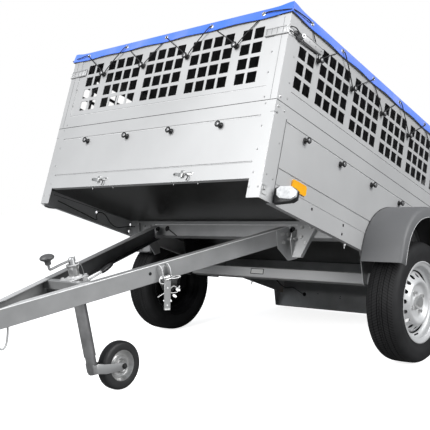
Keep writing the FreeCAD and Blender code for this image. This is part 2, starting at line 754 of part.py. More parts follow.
def jockey_leg():
    """The inner tube that slides in the outer one."""
    return rod("z", (JOCKEY_AT, 0), INNER_RADIUS - RUN, JOCKEY_ARM + 24, LEG_TOP)


def jockey_fork():
    """Foot of the inner tube and two arms down to the small wheel."""
    at, hub = JOCKEY_AT, JOCKEY_AT - JOCKEY_TRAIL
    low, high = JOCKEY_ARM - 24, JOCKEY_ARM + 24 - TOUCH
    crown = stud("z", (at, 0), INNER_RADIUS, low, high, 16)
    half = JOCKEY_WIDTH / 2 + 6
    arm = prism("y", [(at + 18, JOCKEY_ARM + 18), (at - 40, JOCKEY_ARM + 14),
                      (hub, JOCKEY_HUB + 14), (hub - 10, JOCKEY_HUB + 10),
                      (hub - 14, JOCKEY_HUB), (hub - 10, JOCKEY_HUB - 10),
                      (hub, JOCKEY_HUB - 14), (at - 40, JOCKEY_ARM - 24),
                      (at + 18, JOCKEY_ARM - 20)], half, half + 4)
    bridge = box(at - 14, at + 18, -half, half, JOCKEY_ARM - 19, JOCKEY_ARM + 16)
    axle = rod("y", (hub, JOCKEY_HUB), 6, -half, half)
    head = stud("y", (hub, JOCKEY_HUB), 9, half + 4, half + 10, 6)
    return fuse([crown, bridge, arm, mirrored(arm), axle, head, mirrored(head)])


def jockey_tyre():
    """Solid rubber tyre of the small wheel."""
    hub = (JOCKEY_AT - JOCKEY_TRAIL, JOCKEY_HUB)
    w, r = JOCKEY_WIDTH / 2, JOCKEY_RADIUS
    profile = [(-w + 6, 62), (w - 6, 62), (w, 72), (w, r - 16), (w - 8, r - 3), (w - 14, r),
               (-w + 14, r), (-w + 8, r - 3), (-w, r - 16), (-w, 72)]
    return faceted_ring(hub, profile, 0, 24)


def jockey_rim():
    """Pressed rim of the small wheel on its plain bearing."""
    hub = (JOCKEY_AT - JOCKEY_TRAIL, JOCKEY_HUB)
    w = JOCKEY_WIDTH / 2
    profile = [(-w + 6, 62 - TOUCH), (w - 6, 62 - TOUCH), (w - 12, 52), (w - 15, 30),
               (w - 3, 22), (w - 3, 12), (-w + 3, 12), (-w + 3, 22), (-w + 15, 30),
               (-w + 12, 52)]
    sleeve = ring("y", hub, 13, 6 + RUN, -w + 3, w - 3)
    return fuse([faceted_ring(hub, profile, 0, 24), sleeve])


def tyre():
    """Left road tyre."""
    w, r = TYRE_WIDTH / 2, TYRE_RADIUS
    bead = RIM_WIDTH / 2 - 12 - TOUCH
    half = [(bead, RIM_RADIUS + TOUCH), (bead, RIM_FLANGE + 3), (w - 1, 215), (w - 3, 246),
            (w - 16, r - 8), (w - 36, r)]
    profile = half + [(-d, q) for d, q in reversed(half)]
    return faceted_ring((-AXLE_BACK, AXLE_LOW), profile, TRACK_HALF, ROUND_SIDES)


def rim():
    """Left rim: barrel with flanges, and a domed disc with a ring of vent holes."""
    at = (-AXLE_BACK, AXLE_LOW)
    w = RIM_WIDTH / 2
    b = w - 12
    barrel = [(w, RIM_FLANGE), (b, RIM_FLANGE - 2), (b, RIM_RADIUS), (b - 28, 146),
              (-b + 28, 146), (-b, RIM_RADIUS), (-b, RIM_FLANGE - 2), (-w, RIM_FLANGE),
              (-b, 161), (-b + 26, 142), (b - 26, 142), (b, 161)]
    disc = [(4, 142), (10, 142), (36, 128), (42, 108), (30, 88), (24, HUB_RADIUS),
            (20, HUB_RADIUS), (36, 109)]
    pieces = [faceted_ring(at, barrel, TRACK_HALF, ROUND_SIDES),
              faceted_ring(at, disc, TRACK_HALF, ROUND_SIDES)]
    vents = []
    for k in range(16):
        a = 2 * math.pi * k / 16
        spot = (at[0] + 119 * math.cos(a), at[1] + 119 * math.sin(a))
        vents.append(stud("y", spot, 11, TRACK_HALF + 14, TRACK_HALF + 60, 6))
    return fuse(pieces).cut(Part.makeCompound(vents))


def hub():
    """Left hub: barrel, flange and dust cap on the stub axle."""
    at = (-AXLE_BACK, AXLE_LOW)
    flange = TRACK_HALF + 20
    body = stud("y", at, 34, ARM_IN + 20, flange - 8, 12)
    plate = stud("y", at, 66, flange - 8, flange, 16)
    cap = stud("y", at, HUB_RADIUS - 2, flange, flange + 26, 16)
    bore = rod("y", at, STUB_RADIUS, ARM_IN, TRACK_HALF + 8)
    return fuse([body, plate, cap]).cut(bore)


def turned(shape, degrees, pivot):
    """Turn about the Y direction through a flat point; positive puts the nose down."""
    copy = shape.copy()
    copy.rotate(V(pivot[0], 0, pivot[1]), V(0, 1, 0), degrees)
    return copy


def body_tilt():
    """Tilt that puts the road wheels and the jockey wheel on one ground."""
    a = math.radians(TIP_ANGLE)
    x, z = JOCKEY_AT - JOCKEY_TRAIL, JOCKEY_HUB
    hx = -PIVOT_BACK + math.cos(a) * x + math.sin(a) * z + AXLE_BACK
    hz = PIVOT_LOW - math.sin(a) * x + math.cos(a) * z - AXLE_LOW
    slope = math.atan2(-hz, hx)
    rise = math.asin((TYRE_RADIUS - JOCKEY_RADIUS) / math.hypot(hx, hz))
    return math.degrees(slope - rise)


def body_pieces():
    """Everything built in the load body's frame."""
    wall, panel, guard = side_wall(), mesh_side(), mudguard()
    posts = [corner_post(False), corner_post(True)]
    wheel = {"tyre": tyre(), "rim": rim(), "hub": hub()}
    pieces = {
        "floor_panel": floor_panel(),
        "side_wall_left": wall, "side_wall_right": mirrored(wall),
        "front_wall": front_wall(),
        "corner_posts": Part.makeCompound(posts + [mirrored(p) for p in posts]),
        "mesh_panel_left": panel, "mesh_panel_right": mirrored(panel),
        "mesh_panel_front": mesh_end("front", 0),
        "mesh_panel_rear": mesh_end("rear", -BODY_LENGTH),
        "crossmembers": Part.makeCompound(
            [crossmember(-PIVOT_BACK - 16, FLOOR_UNDER, True),
             crossmember(-CROSS_BACK, FLOOR_UNDER, False)]),
        "light_board": light_board(),
        "tail_lamps": both(tail_lamp()),
        "plate_holder": plate_holder(),
        "tailgate": tailgate(),
        "cover": cover(),
        "rope_hooks": rope_hooks(),
        "corner_latches": corner_latches(),
        "latch_keepers": latch_keepers(),
        "front_lamps": both(front_lamp()),
        "side_reflectors": both(side_reflector()),
        "hinge_brackets": both(hinge_bracket()),
        "axle_tube": axle_tube(),
        "axle_arms": both(axle_arm()),
        "axle_brackets": both(axle_bracket()),
        "mudguards": both(guard),
    }
    for name, shape in wheel.items():
        pieces[name + "_left"] = shape
        pieces[name + "_right"] = mirrored(shape)
    return pieces


def drawbar_pieces():
    """Everything built in the drawbar's frame."""
    return {
        "drawbar_beams": both(beam()),
        "cross_plate": cross_plate(),
        "tongue_plates": both(tongue_plate()),
        "pivot_pins": both(pivot_pin()),
        "tipping_catches": both(tipping_catch()),
        "coupling_head": coupling(),
        "coupling_handle": coupling_handle(),
        "jockey_clamp": jockey_clamp(),
        "jockey_tube": jockey_tube(),
        "jockey_crank": jockey_crank(),
        "jockey_leg": jockey_leg(),
        "jockey_fork": jockey_fork(),
        "jockey_tyre": jockey_tyre(),
        "jockey_rim": jockey_rim(),
    }


def placed():
    """All pieces on the ground, before the last shift to the middle of the length."""
    tilt = body_tilt()
    pieces = body_pieces()
    for name, shape in drawbar_pieces().items():
        swung = turned(shape, TIP_ANGLE, (0, 0))
        swung.translate(V(-PIVOT_BACK, 0, PIVOT_LOW))
        pieces[name] = swung
    done = {}
    for name, shape in pieces.items():
        stood = turned(shape, -tilt, (-AXLE_BACK, AXLE_LOW))
        stood.translate(V(AXLE_BACK, 0, TYRE_RADIUS - AXLE_LOW))
        done[name] = stood
    return done


def main():
    """Build, centre and write every piece."""
    pieces = placed()
    boxes = [shape.BoundBox for shape in pieces.values()]
    middle = (min(b.XMin for b in boxes) + max(b.XMax for b in boxes)) / 2
    low = min(b.ZMin for b in boxes)
    os.makedirs("parts", exist_ok=True)
    for name, shape in pieces.items():
        shape.translate(V(-middle, 0, -low))
        shape.exportStep(os.path.join("parts", name + ".step"))
    print("tilt", round(body_tilt(), 3), "middle", round(middle, 3), "low", round(low, 3))


main()
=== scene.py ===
"""The finished look of a tipped box trailer with mesh sides and a laced cover.

Sizes are in millimetres in the trailer's own frames. The load body's frame starts at the foot
of the front wall, with X ahead, Y left and Z up. The drawbar's frame starts on its tip pivot,
and a road wheel's frame in the middle of its hub, with Y outwards.
"""
import json
import logging
import math
from dataclasses import dataclass, field
from enum import Enum
from typing import Iterable, Sequence

import bmesh
import bpy
from mathutils import Matrix, Vector

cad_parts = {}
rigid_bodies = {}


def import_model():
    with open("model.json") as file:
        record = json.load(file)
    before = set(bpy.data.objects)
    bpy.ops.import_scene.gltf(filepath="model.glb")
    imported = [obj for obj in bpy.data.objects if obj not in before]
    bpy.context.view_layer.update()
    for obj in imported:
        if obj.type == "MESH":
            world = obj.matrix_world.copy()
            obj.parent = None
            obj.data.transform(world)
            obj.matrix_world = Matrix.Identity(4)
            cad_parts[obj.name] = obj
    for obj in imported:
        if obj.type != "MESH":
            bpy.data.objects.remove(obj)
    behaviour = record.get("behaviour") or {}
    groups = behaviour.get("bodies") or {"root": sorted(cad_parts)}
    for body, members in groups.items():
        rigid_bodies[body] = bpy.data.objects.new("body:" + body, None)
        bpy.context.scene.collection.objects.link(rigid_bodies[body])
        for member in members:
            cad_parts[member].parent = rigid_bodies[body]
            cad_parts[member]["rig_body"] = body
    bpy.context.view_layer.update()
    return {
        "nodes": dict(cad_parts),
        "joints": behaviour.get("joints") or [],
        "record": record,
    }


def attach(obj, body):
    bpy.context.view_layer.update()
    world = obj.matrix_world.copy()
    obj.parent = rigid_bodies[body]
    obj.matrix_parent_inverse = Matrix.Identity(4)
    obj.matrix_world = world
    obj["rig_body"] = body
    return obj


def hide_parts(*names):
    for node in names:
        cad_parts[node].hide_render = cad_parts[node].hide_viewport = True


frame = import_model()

LOG = logging.getLogger("trailer")

Colour = tuple[float, float, float]
Flat = tuple[float, float]
Point = Sequence[float]

MM = 0.001
LENGTH = 2080.0
HALF = 668.5
PANEL_TOP = 782.0
PRESS = 3.0
AXLE = (-1069.8, -156.0)
PIVOT = (-552.0, -9.0)
TIP_ANGLE = 29.64
TRACK_HALF = 763.5
BEAM_WIDE = 409.0
BEAM_TAPER = 0.3031
BEAM_FROM = 48.4
BEAM_MEET = 33.0
JOCKEY_AT = 844.5
JOCKEY_TRAIL = 133.5
JOCKEY_HUB = -362.0
SMOOTH_ANGLE = math.radians(38)
NUMBER, COLOUR = "NodeSocketFloat", "NodeSocketColor"


def joint_place(name: str) -> Vector:
    """Find where a joint of the CAD model turns.

    Args:
        name: The joint's name in the record.

    Returns:
        Its point in the row frame, in metres.
    """
    found = next(j for j in frame["joints"] if j["name"] == name)
    return Vector(found["pos_m"])


def body_matrix() -> Matrix:
    """Work out the load body's frame from the axle and the tip pivot.

    Returns:
        The matrix from body millimetres to row metres.
    """
    axle = joint_place("wheel_left_spin")
    pivot = joint_place("drawbar_tip")
    level = math.atan2(PIVOT[1] - AXLE[1], PIVOT[0] - AXLE[0])
    tilt = math.atan2(pivot.z - axle.z, pivot.x - axle.x) - level
    to_axle = Matrix.Translation((-AXLE[0], 0, -AXLE[1]))
    size = Matrix.Scale(MM, 4)
    place = Matrix.Translation((axle.x, 0, axle.z))
    return place @ Matrix.Rotation(-tilt, 4, "Y") @ size @ to_axle


BODY = body_matrix()
BAR = BODY @ Matrix.Translation((PIVOT[0], 0, PIVOT[1])) @ Matrix.Rotation(
    math.radians(TIP_ANGLE), 4, "Y")
RIGHT = Matrix.Scale(-1, 4, (0, 1, 0))
STILL = Matrix.Identity(4)
HUB = BODY @ Matrix.Translation((AXLE[0], TRACK_HALF, AXLE[1]))
HOMES = {"load_body": BODY, "tailgate": BODY, "drawbar": BAR, "jockey_fork": BAR,
         "jockey_wheel": BAR, "wheel_left": HUB, "wheel_right": RIGHT @ HUB}
HANDS = ((1, "left"), (-1, "right"))


def beam_side(x: float) -> float:
    """Tell how far a drawbar beam's outer face is from the middle, X ahead of the pivot."""
    return max(BEAM_WIDE - BEAM_TAPER * (x - BEAM_FROM), BEAM_MEET)


def doubled(half: list[Flat]) -> list[Flat]:
    """Follow half a wheel's section with its mirrored half."""
    return half + [(-d, r) for d, r in reversed(half)]


class Axis(Enum):
    """The axes of a trailer frame."""

    X = (1, 0, 0)
    Y = (0, 1, 0)
    Z = (0, 0, 1)

    def spot(self, at: float, flat: Flat = (0, 0)) -> Vector:
        """Give the point at a distance along this axis, over a place on the other two."""
        spot = list(flat)
        spot.insert(self.value.index(1), at)
        return Vector(spot)


class Wall(Enum):
    """The four upright sides of the load body."""

    FRONT = "front"
    LEFT = "left"
    REAR = "rear"
    RIGHT = "right"

    @property
    def is_end(self) -> bool:
        """Tell whether the wall runs across the trailer."""
        return self in (Wall.FRONT, Wall.REAR)

    def point(self, along: float, up: float, out: float) -> Vector:
        """Turn a place on this wall into a point of the body's frame.

        Args:
            along: Distance along the wall, from the middle or from the front corner.
            up: Height.
            out: Distance outwards from the wall's face.

        Returns:
            The point in millimetres.
        """
        if self is Wall.FRONT:
            return Vector((out, along, up))
        if self is Wall.REAR:
            return Vector((-LENGTH - out, along, up))
        side = 1 if self is Wall.LEFT else -1
        return Vector((-along, side * (HALF + out), up))

    def outwards(self) -> Vector:
        """Give the direction that this wall faces."""
        return self.point(0, 0, 1) - self.point(0, 0, 0)


class ShaderTree:
    """Adds nodes to one shader tree and feeds them."""

    def __init__(self, tree: bpy.types.NodeTree) -> None:
        """Work on one tree."""
        self.nodes, self.link = tree.nodes, tree.links.new

    def fill(self, node: bpy.types.Node, feeds: dict) -> bpy.types.Node:
        """Feed a node's inputs.

        Args:
            node: The node.
            feeds: A value, or an output to link, for each input's name or number.

        Returns:
            The same node.
        """
        for name, value in feeds.items():
            if isinstance(value, bpy.types.NodeSocket):
                self.link(value, node.inputs[name])
            else:
                node.inputs[name].default_value = value
        return node

    def add(self, kind: str, feeds: dict) -> bpy.types.Node:
        """Add a node, its kind given without the first word ShaderNode, and feed it."""
        return self.fill(self.nodes.new("ShaderNode" + kind), feeds)

    def group(self, shared: bpy.types.NodeTree, feeds: dict) -> bpy.types.bpy_prop_collection:
        """Use a shared group and give its outputs."""
        node = self.add("Group", {})
        node.node_tree = shared
        return self.fill(node, feeds).outputs

    def math(self, kind: str, *values: object) -> bpy.types.NodeSocket:
        """Join values with one arithmetic node and give its result."""
        node = self.add("Math", dict(enumerate(values)))
        node.operation = kind
        return node.outputs[0]

    def mix(self, share: object, first: object, second: object) -> bpy.types.NodeSocket:
        """Mix two colours by a share and give the mixed one."""
        node = self.add("Mix", {})
        node.data_type = "RGBA"
        return self.fill(node, {"Factor": share, 6: first, 7: second}).outputs[2]

    def flat_map(self) -> bpy.types.bpy_prop_collection:
        """Give the two numbers of the piece's own UV map."""
        place = self.add("TexCoord", {}).outputs["UV"]
        return self.add("SeparateXYZ", {"Vector": place}).outputs


class Effects:
    """Shader groups that several finishes share, each built once."""

    def __init__(self) -> None:
        """Start with no group built."""
        self.built: dict[str, bpy.types.NodeTree] = {}

    def get(self, name: str) -> bpy.types.NodeTree:
        """Give a shared group, built at its first use."""
        if name not in self.built:
            {"mottle": self.mottle, "weave": self.weave, "sipes": self.sipes}[name]()
        return self.built[name]

    def start(self, name: str, inputs: dict[str, str], outputs: dict[str, str]) -> tuple:
        """Make an empty group with its sockets.

        Args:
            name: The group's name.
            inputs: Socket names and their kinds.
            outputs: Socket names and their kinds.

        Returns:
            The group's tree, what it is given, and the node that takes its results.
        """
        group = bpy.data.node_groups.new(name, "ShaderNodeTree")
        for way, sockets in (("INPUT", inputs), ("OUTPUT", outputs)):
            for label, kind in sockets.items():
                group.interface.new_socket(label, in_out=way, socket_type=kind)
        self.built[name] = group
        given, leave = group.nodes.new("NodeGroupInput"), group.nodes.new("NodeGroupOutput")
        return ShaderTree(group), given.outputs, leave

    def mottle(self) -> None:
        """Build a cloudy mix of two tones, with its roughness and a fine grain."""
        tree, given, leave = self.start(
            "mottle", {"Light": COLOUR, "Dark": COLOUR, "Smooth": NUMBER, "Rough": NUMBER,
                       "Patch": NUMBER, "Grain": NUMBER},
            {"Colour": COLOUR, "Roughness": NUMBER, "Height": NUMBER, "Cloud": NUMBER})
        place = tree.add("TexCoord", {}).outputs["Object"]
        cloud, grain = (
            tree.add("TexNoise", {"Vector": place, "Scale": given[scale],
                                  "Detail": detail}).outputs["Fac"]
            for scale, detail in (("Patch", 4), ("Grain", 3)))
        spread = tree.add("MapRange", {"From Min": 0.32, "From Max": 0.68,
                                       "Value": cloud}).outputs["Result"]
        sheen = tree.add("Mix", {"Factor": grain, 2: given["Smooth"], 3: given["Rough"]})
        tree.fill(leave, {"Colour": tree.mix(spread, given["Light"], given["Dark"]),
                          "Roughness": sheen.outputs[0], "Height": grain, "Cloud": spread})

    def weave(self) -> None:
        """Build the height of a woven cloth's crossing threads, on the piece's UV map."""
        tree, given, leave = self.start("weave", {"Threads": NUMBER}, {"Height": NUMBER})
        flat = tree.flat_map()
        waves = [tree.math("SINE", tree.math("MULTIPLY", flat[axis], given["Threads"]))
                 for axis in "XY"]
        tree.fill(leave, {"Height": tree.math("MULTIPLY", *waves)})

    def sipes(self) -> None:
        """Build the fine slanted cuts across a tyre's tread, on the tyre's own UV map, coloured
        near black as painted shade.

        The map's U counts the cuts round the tyre and its V is nought at the middle. A wavy
        cut runs round the middle.
        """
        tree, given, leave = self.start("sipes", {"Rubber": COLOUR},
                                        {"Colour": COLOUR, "Height": NUMBER})
        join, flat = tree.math, tree.flat_map()
        slant, share, shoulder, swing, half_cut = 2.4, 0.3, 0.93, 0.035, 0.03
        far = join("ABSOLUTE", flat["Y"])
        turned = join("ADD", flat["X"], join("MULTIPLY", far, slant))
        cut = join("LESS_THAN", join("FRACT", turned), share)
        inside = join("LESS_THAN", far, shoulder)
        wave = join("MULTIPLY", join("SINE", join("MULTIPLY", flat["X"], 3.1416)), swing)
        off_wave = join("ABSOLUTE", join("SUBTRACT", flat["Y"], wave))
        mask = join("MAXIMUM", join("MULTIPLY", cut, inside),
                    join("LESS_THAN", off_wave, half_cut))
        # Painted shade: the cuts' colour is near black.
        tree.fill(leave, {"Colour": tree.mix(mask, given["Rubber"], (0.003, 0.003, 0.003, 1)),
                          "Height": join("SUBTRACT", 1.0, mask)})


@dataclass(frozen=True)
class Finish:
    """One surface finish: two tones, gloss, grain and what it is made of."""

    label: str
    light: Colour
    dark: Colour
    metallic: float = 0.0
    smooth: float = 0.4
    rough: float = 0.55
    patch: float = 4.0
    grain: float = 300.0
    bump: float = 0.0
    coat: float = 0.0
    threads: float = 0.0
    # Tint of a painted sheen, lighter at a slant, that stands in for a reflection.
    painted_sheen: Colour | None = None
    tread: bool = False
    gloss: float = 0.5

    def make(self, effects: Effects) -> bpy.types.Material:
        """Build the material.

        Args:
            effects: The shared shader groups.

        Returns:
            The finished material.
        """
        material = bpy.data.materials.new(self.label)
        material.use_nodes = True
        tree = ShaderTree(material.node_tree)
        shader = tree.nodes["Principled BSDF"]
        look = tree.group(effects.get("mottle"), {
            "Light": (*self.light, 1), "Dark": (*self.dark, 1), "Smooth": self.smooth,
            "Rough": self.rough, "Patch": self.patch, "Grain": self.grain})
        colour, height = look["Colour"], look["Height"]
        if self.threads:
            height = tree.group(effects.get("weave"), {"Threads": self.threads})["Height"]
        if self.tread:
            cuts = tree.group(effects.get("sipes"), {"Rubber": colour})
            colour, height = cuts["Colour"], cuts["Height"]
        # Painted sheen: the colour lightens at a slant.
        if self.painted_sheen:
            colour = self.paint_sheen(tree, colour, look["Cloud"])
        tree.fill(shader, {
            "Base Color": colour, "Roughness": look["Roughness"], "Metallic": self.metallic,
            "Coat Weight": self.coat, "Coat Roughness": 0.12, "Specular IOR Level": self.gloss})
        if self.bump:
            bump = tree.add("Bump", {"Strength": 0.5, "Distance": self.bump,
                                     "Height": height})
            tree.fill(shader, {"Normal": bump.outputs["Normal"]})
        return material

    def paint_sheen(self, tree: ShaderTree, colour: bpy.types.NodeSocket,
              cloud: bpy.types.NodeSocket) -> bpy.types.NodeSocket:
        """Lighten a colour where the surface is seen at a slant, and more in some patches: a
        painted sheen that stands in for the reflection of the white surround.

        Args:
            tree: The material's tree.
            colour: The colour.
            cloud: The patches, from nought to one.

        Returns:
            The lightened colour.
        """
        steepness, least, most = 2.6, 0.6, 1.5
        facing = tree.add("LayerWeight", {"Blend": 0.5}).outputs["Facing"]
        drift = tree.add("MapRange", {"To Min": least, "To Max": most, "Value": cloud})
        patchy = tree.math("MULTIPLY", tree.math("POWER", facing, steepness),
                           drift.outputs["Result"])
        patchy.node.use_clamp = True
        return tree.mix(patchy, colour, (*self.painted_sheen, 1))


class Paint(Enum):
    """Every finish on the trailer, by the name of the record's slot where it has one."""

    ZINC_WALL = Finish("zinc_wall", (0.63, 0.632, 0.634), (0.55, 0.552, 0.554), 0.45, 0.42, 0.56,
                       2.2, 180.0, 0.00005)
    ZINC_FRAME = Finish("zinc_frame", (0.5, 0.503, 0.506), (0.41, 0.413, 0.416), 0.6, 0.36, 0.52,
                        9.0, 220.0, 0.00008)
    ZINC_TUBE = Finish("zinc_tube", (0.5, 0.5, 0.505), (0.34, 0.34, 0.345), 0.8, 0.25, 0.45,
                       16.0, 90.0, 0.00005)
    # Dark paint of gaps, springs and small dark parts, and painted shade: the eyelets' holes, the
    # guards' line along the wall and the side fields' fold.
    SEAM_DARK_AND_SHADE = Finish("seam_dark", (0.05, 0.05, 0.052), (0.03, 0.03, 0.031), 0.2, 0.5, 0.7,
                       30.0, 300.0)
    # Black coat of the axle arms, and painted shade on the rims' inner side, the right axle
    # bracket and in the beams' holes.
    BLACK_COAT_AND_SHADE = Finish("black_coat", (0.012, 0.012, 0.013), (0.006, 0.006, 0.007), 0.0, 0.4,
                        0.6, 20.0, 300.0, gloss=0.2)
    # Near-white paint: painted highlights along edges, bends and folds, and the catches' wires.
    EDGE_LIGHT = Finish("edge_light", (0.95, 0.95, 0.95), (0.8, 0.8, 0.8), 0.15, 0.3, 0.4,
                        30.0, 300.0)
    # Mid-grey lines: painted shade along pressed steps, post edges and latch rails, and a painted
    # highlight along the sill's fold.
    SOFT_SEAMS_AND_SHADE = Finish("seam_soft", (0.26, 0.262, 0.265), (0.2, 0.202, 0.205), 0.4, 0.4, 0.6,
                       30.0, 300.0)
    # Painted shade on the beams' inner web.
    ZINC_SHADE = Finish("zinc_shade", (0.16, 0.162, 0.165), (0.11, 0.112, 0.114), 0.5, 0.4,
                        0.55, 9.0, 220.0, 0.00008)
    # Dull zinc of the crank rod, and painted shade on the cross plate's leg and on the beams'
    # inner web near the coupling.
    DULL_ZINC_AND_SHADE = Finish("dull_zinc", (0.33, 0.332, 0.335), (0.26, 0.262, 0.264), 0.4, 0.4, 0.55,
                       9.0, 220.0, 0.00008)
    FILM_BOARD = Finish("film_board", (0.008, 0.0078, 0.0075), (0.004, 0.0039, 0.0037), 0.0,
                        0.24, 0.34, 3.0, 500.0, 0.00005, gloss=0.4)
    COVER_BLUE = Finish("cover_blue", (0.014, 0.17, 0.9), (0.01, 0.14, 0.84), 0.0, 0.3, 0.42,
                        6.0, 60.0, 0.0001, threads=2600.0, painted_sheen=(0.75, 0.8, 1.0))
    COVER_INSIDE = Finish("cover_inside", (0.15, 0.152, 0.16), (0.12, 0.122, 0.128), 0.0, 0.5,
                          0.65, 5.0, 60.0, 0.0001, threads=2600.0)
    GREY_PLASTIC = Finish("grey_plastic", (0.152, 0.154, 0.159), (0.136, 0.138, 0.142), 0.0,
                          0.48, 0.6, 5.0, 900.0, 0.00012)
    # Black plastic of the knobs, housings, grips and cables, and painted shade on the mudguards'
    # inner side.
    BLACK_PLASTIC_AND_SHADE = Finish("black_plastic", (0.022, 0.022, 0.023), (0.014, 0.014, 0.015), 0.0,
                           0.3, 0.45, 8.0, 700.0, 0.00005)
    HOOK_GREY = Finish("hook_grey", (0.34, 0.34, 0.345), (0.26, 0.26, 0.265), 0.5, 0.25,
                       0.4, 30.0, 300.0)
    KNOB_PLASTIC = Finish("knob_plastic", (0.1, 0.1, 0.102), (0.08, 0.08, 0.082), 0.0,
                          0.4, 0.55, 12.0, 900.0, 0.00005)
    LAMP_WHITE = Finish("lamp_white", (0.8, 0.81, 0.82), (0.55, 0.56, 0.57), 0.0, 0.08, 0.2,
                        60.0, 150.0, 0.0003, coat=0.6)
    LAMP_AMBER = Finish("lamp_amber", (1.0, 0.5, 0.002), (1.0, 0.43, 0.0), 0.0, 0.15, 0.3,
                        30.0, 250.0, 0.0003, coat=0.4)
    LAMP_RED = Finish("lamp_red", (0.5, 0.008, 0.008), (0.4, 0.004, 0.004), 0.0, 0.12, 0.25,
                      20.0, 250.0, 0.0003, coat=0.5)
    PLATE_BLANK = Finish("plate_blank", (0.8, 0.8, 0.78), (0.74, 0.74, 0.72), 0.0, 0.35, 0.5,
                         8.0, 300.0)
    RIM_SILVER = Finish("rim_silver", (0.68, 0.685, 0.69), (0.62, 0.625, 0.63), 0.35, 0.42, 0.55,
                        6.0, 400.0, 0.00003, coat=0.1)
    # Pale zinc of the clamp, its lever and the drawbar eye, and painted highlights on the guards'
    # lip and on the beams' top near the coupling.
    PALE_ZINC_AND_HIGHLIGHT = Finish("pale_zinc", (0.62, 0.622, 0.625), (0.54, 0.542, 0.545), 0.2, 0.35, 0.5,
                       20.0, 300.0)
    TYRE_RUBBER = Finish("tyre_rubber", (0.024, 0.024, 0.025), (0.016, 0.016, 0.017), 0.0, 0.5,
                         0.72, 14.0, 500.0, 0.0012, tread=True, gloss=0.22)
    BLACK_RUBBER = Finish("black_rubber", (0.034, 0.034, 0.035), (0.022, 0.022, 0.023), 0.0, 0.42,
                          0.6, 20.0, 600.0, 0.0001)
    BRIGHT_ZINC = Finish("bright_zinc", (0.74, 0.74, 0.735), (0.6, 0.6, 0.595), 0.85, 0.22,
                         0.4, 25.0, 300.0, 0.00004)
    ROPE_BLACK = Finish("rope_black", (0.03, 0.03, 0.032), (0.012, 0.012, 0.013), 0.0, 0.6,
                        0.8, 300.0, 900.0, 0.0003)
    FLOOR_PALE = Finish("floor_pale", (0.93, 0.93, 0.93), (0.91, 0.91, 0.91), 0.0, 0.7, 0.8,
                        0.5, 2.0)


class Dresser:
    """Keeps the materials and puts them on pieces."""

    def __init__(self) -> None:
        """Start with no material made."""
        self.effects = Effects()
        self.made: dict[Paint, bpy.types.Material] = {}

    def material(self, paint: Paint) -> bpy.types.Material:
        """Give a finish's material, made at its first use."""
        if paint not in self.made:
            self.made[paint] = paint.value.make(self.effects)
        return self.made[paint]

    def dress(self, piece: bpy.types.Object, paint: Paint) -> None:
        """Put one finish on a whole piece."""
        piece.data.materials.clear()
        piece.data.materials.append(self.material(paint))

    def dress_frame(self) -> None:
        """Put the record's slots on every CAD node."""
        paints = {paint.value.label: paint for paint in Paint}
        for entry in frame["record"]["subparts"]:
            paint = paints[entry["material_slot"]]
            self.dress(frame["nodes"][entry["node"]], paint)
            LOG.info("node %s wears %s", entry["node"], paint.value.label)


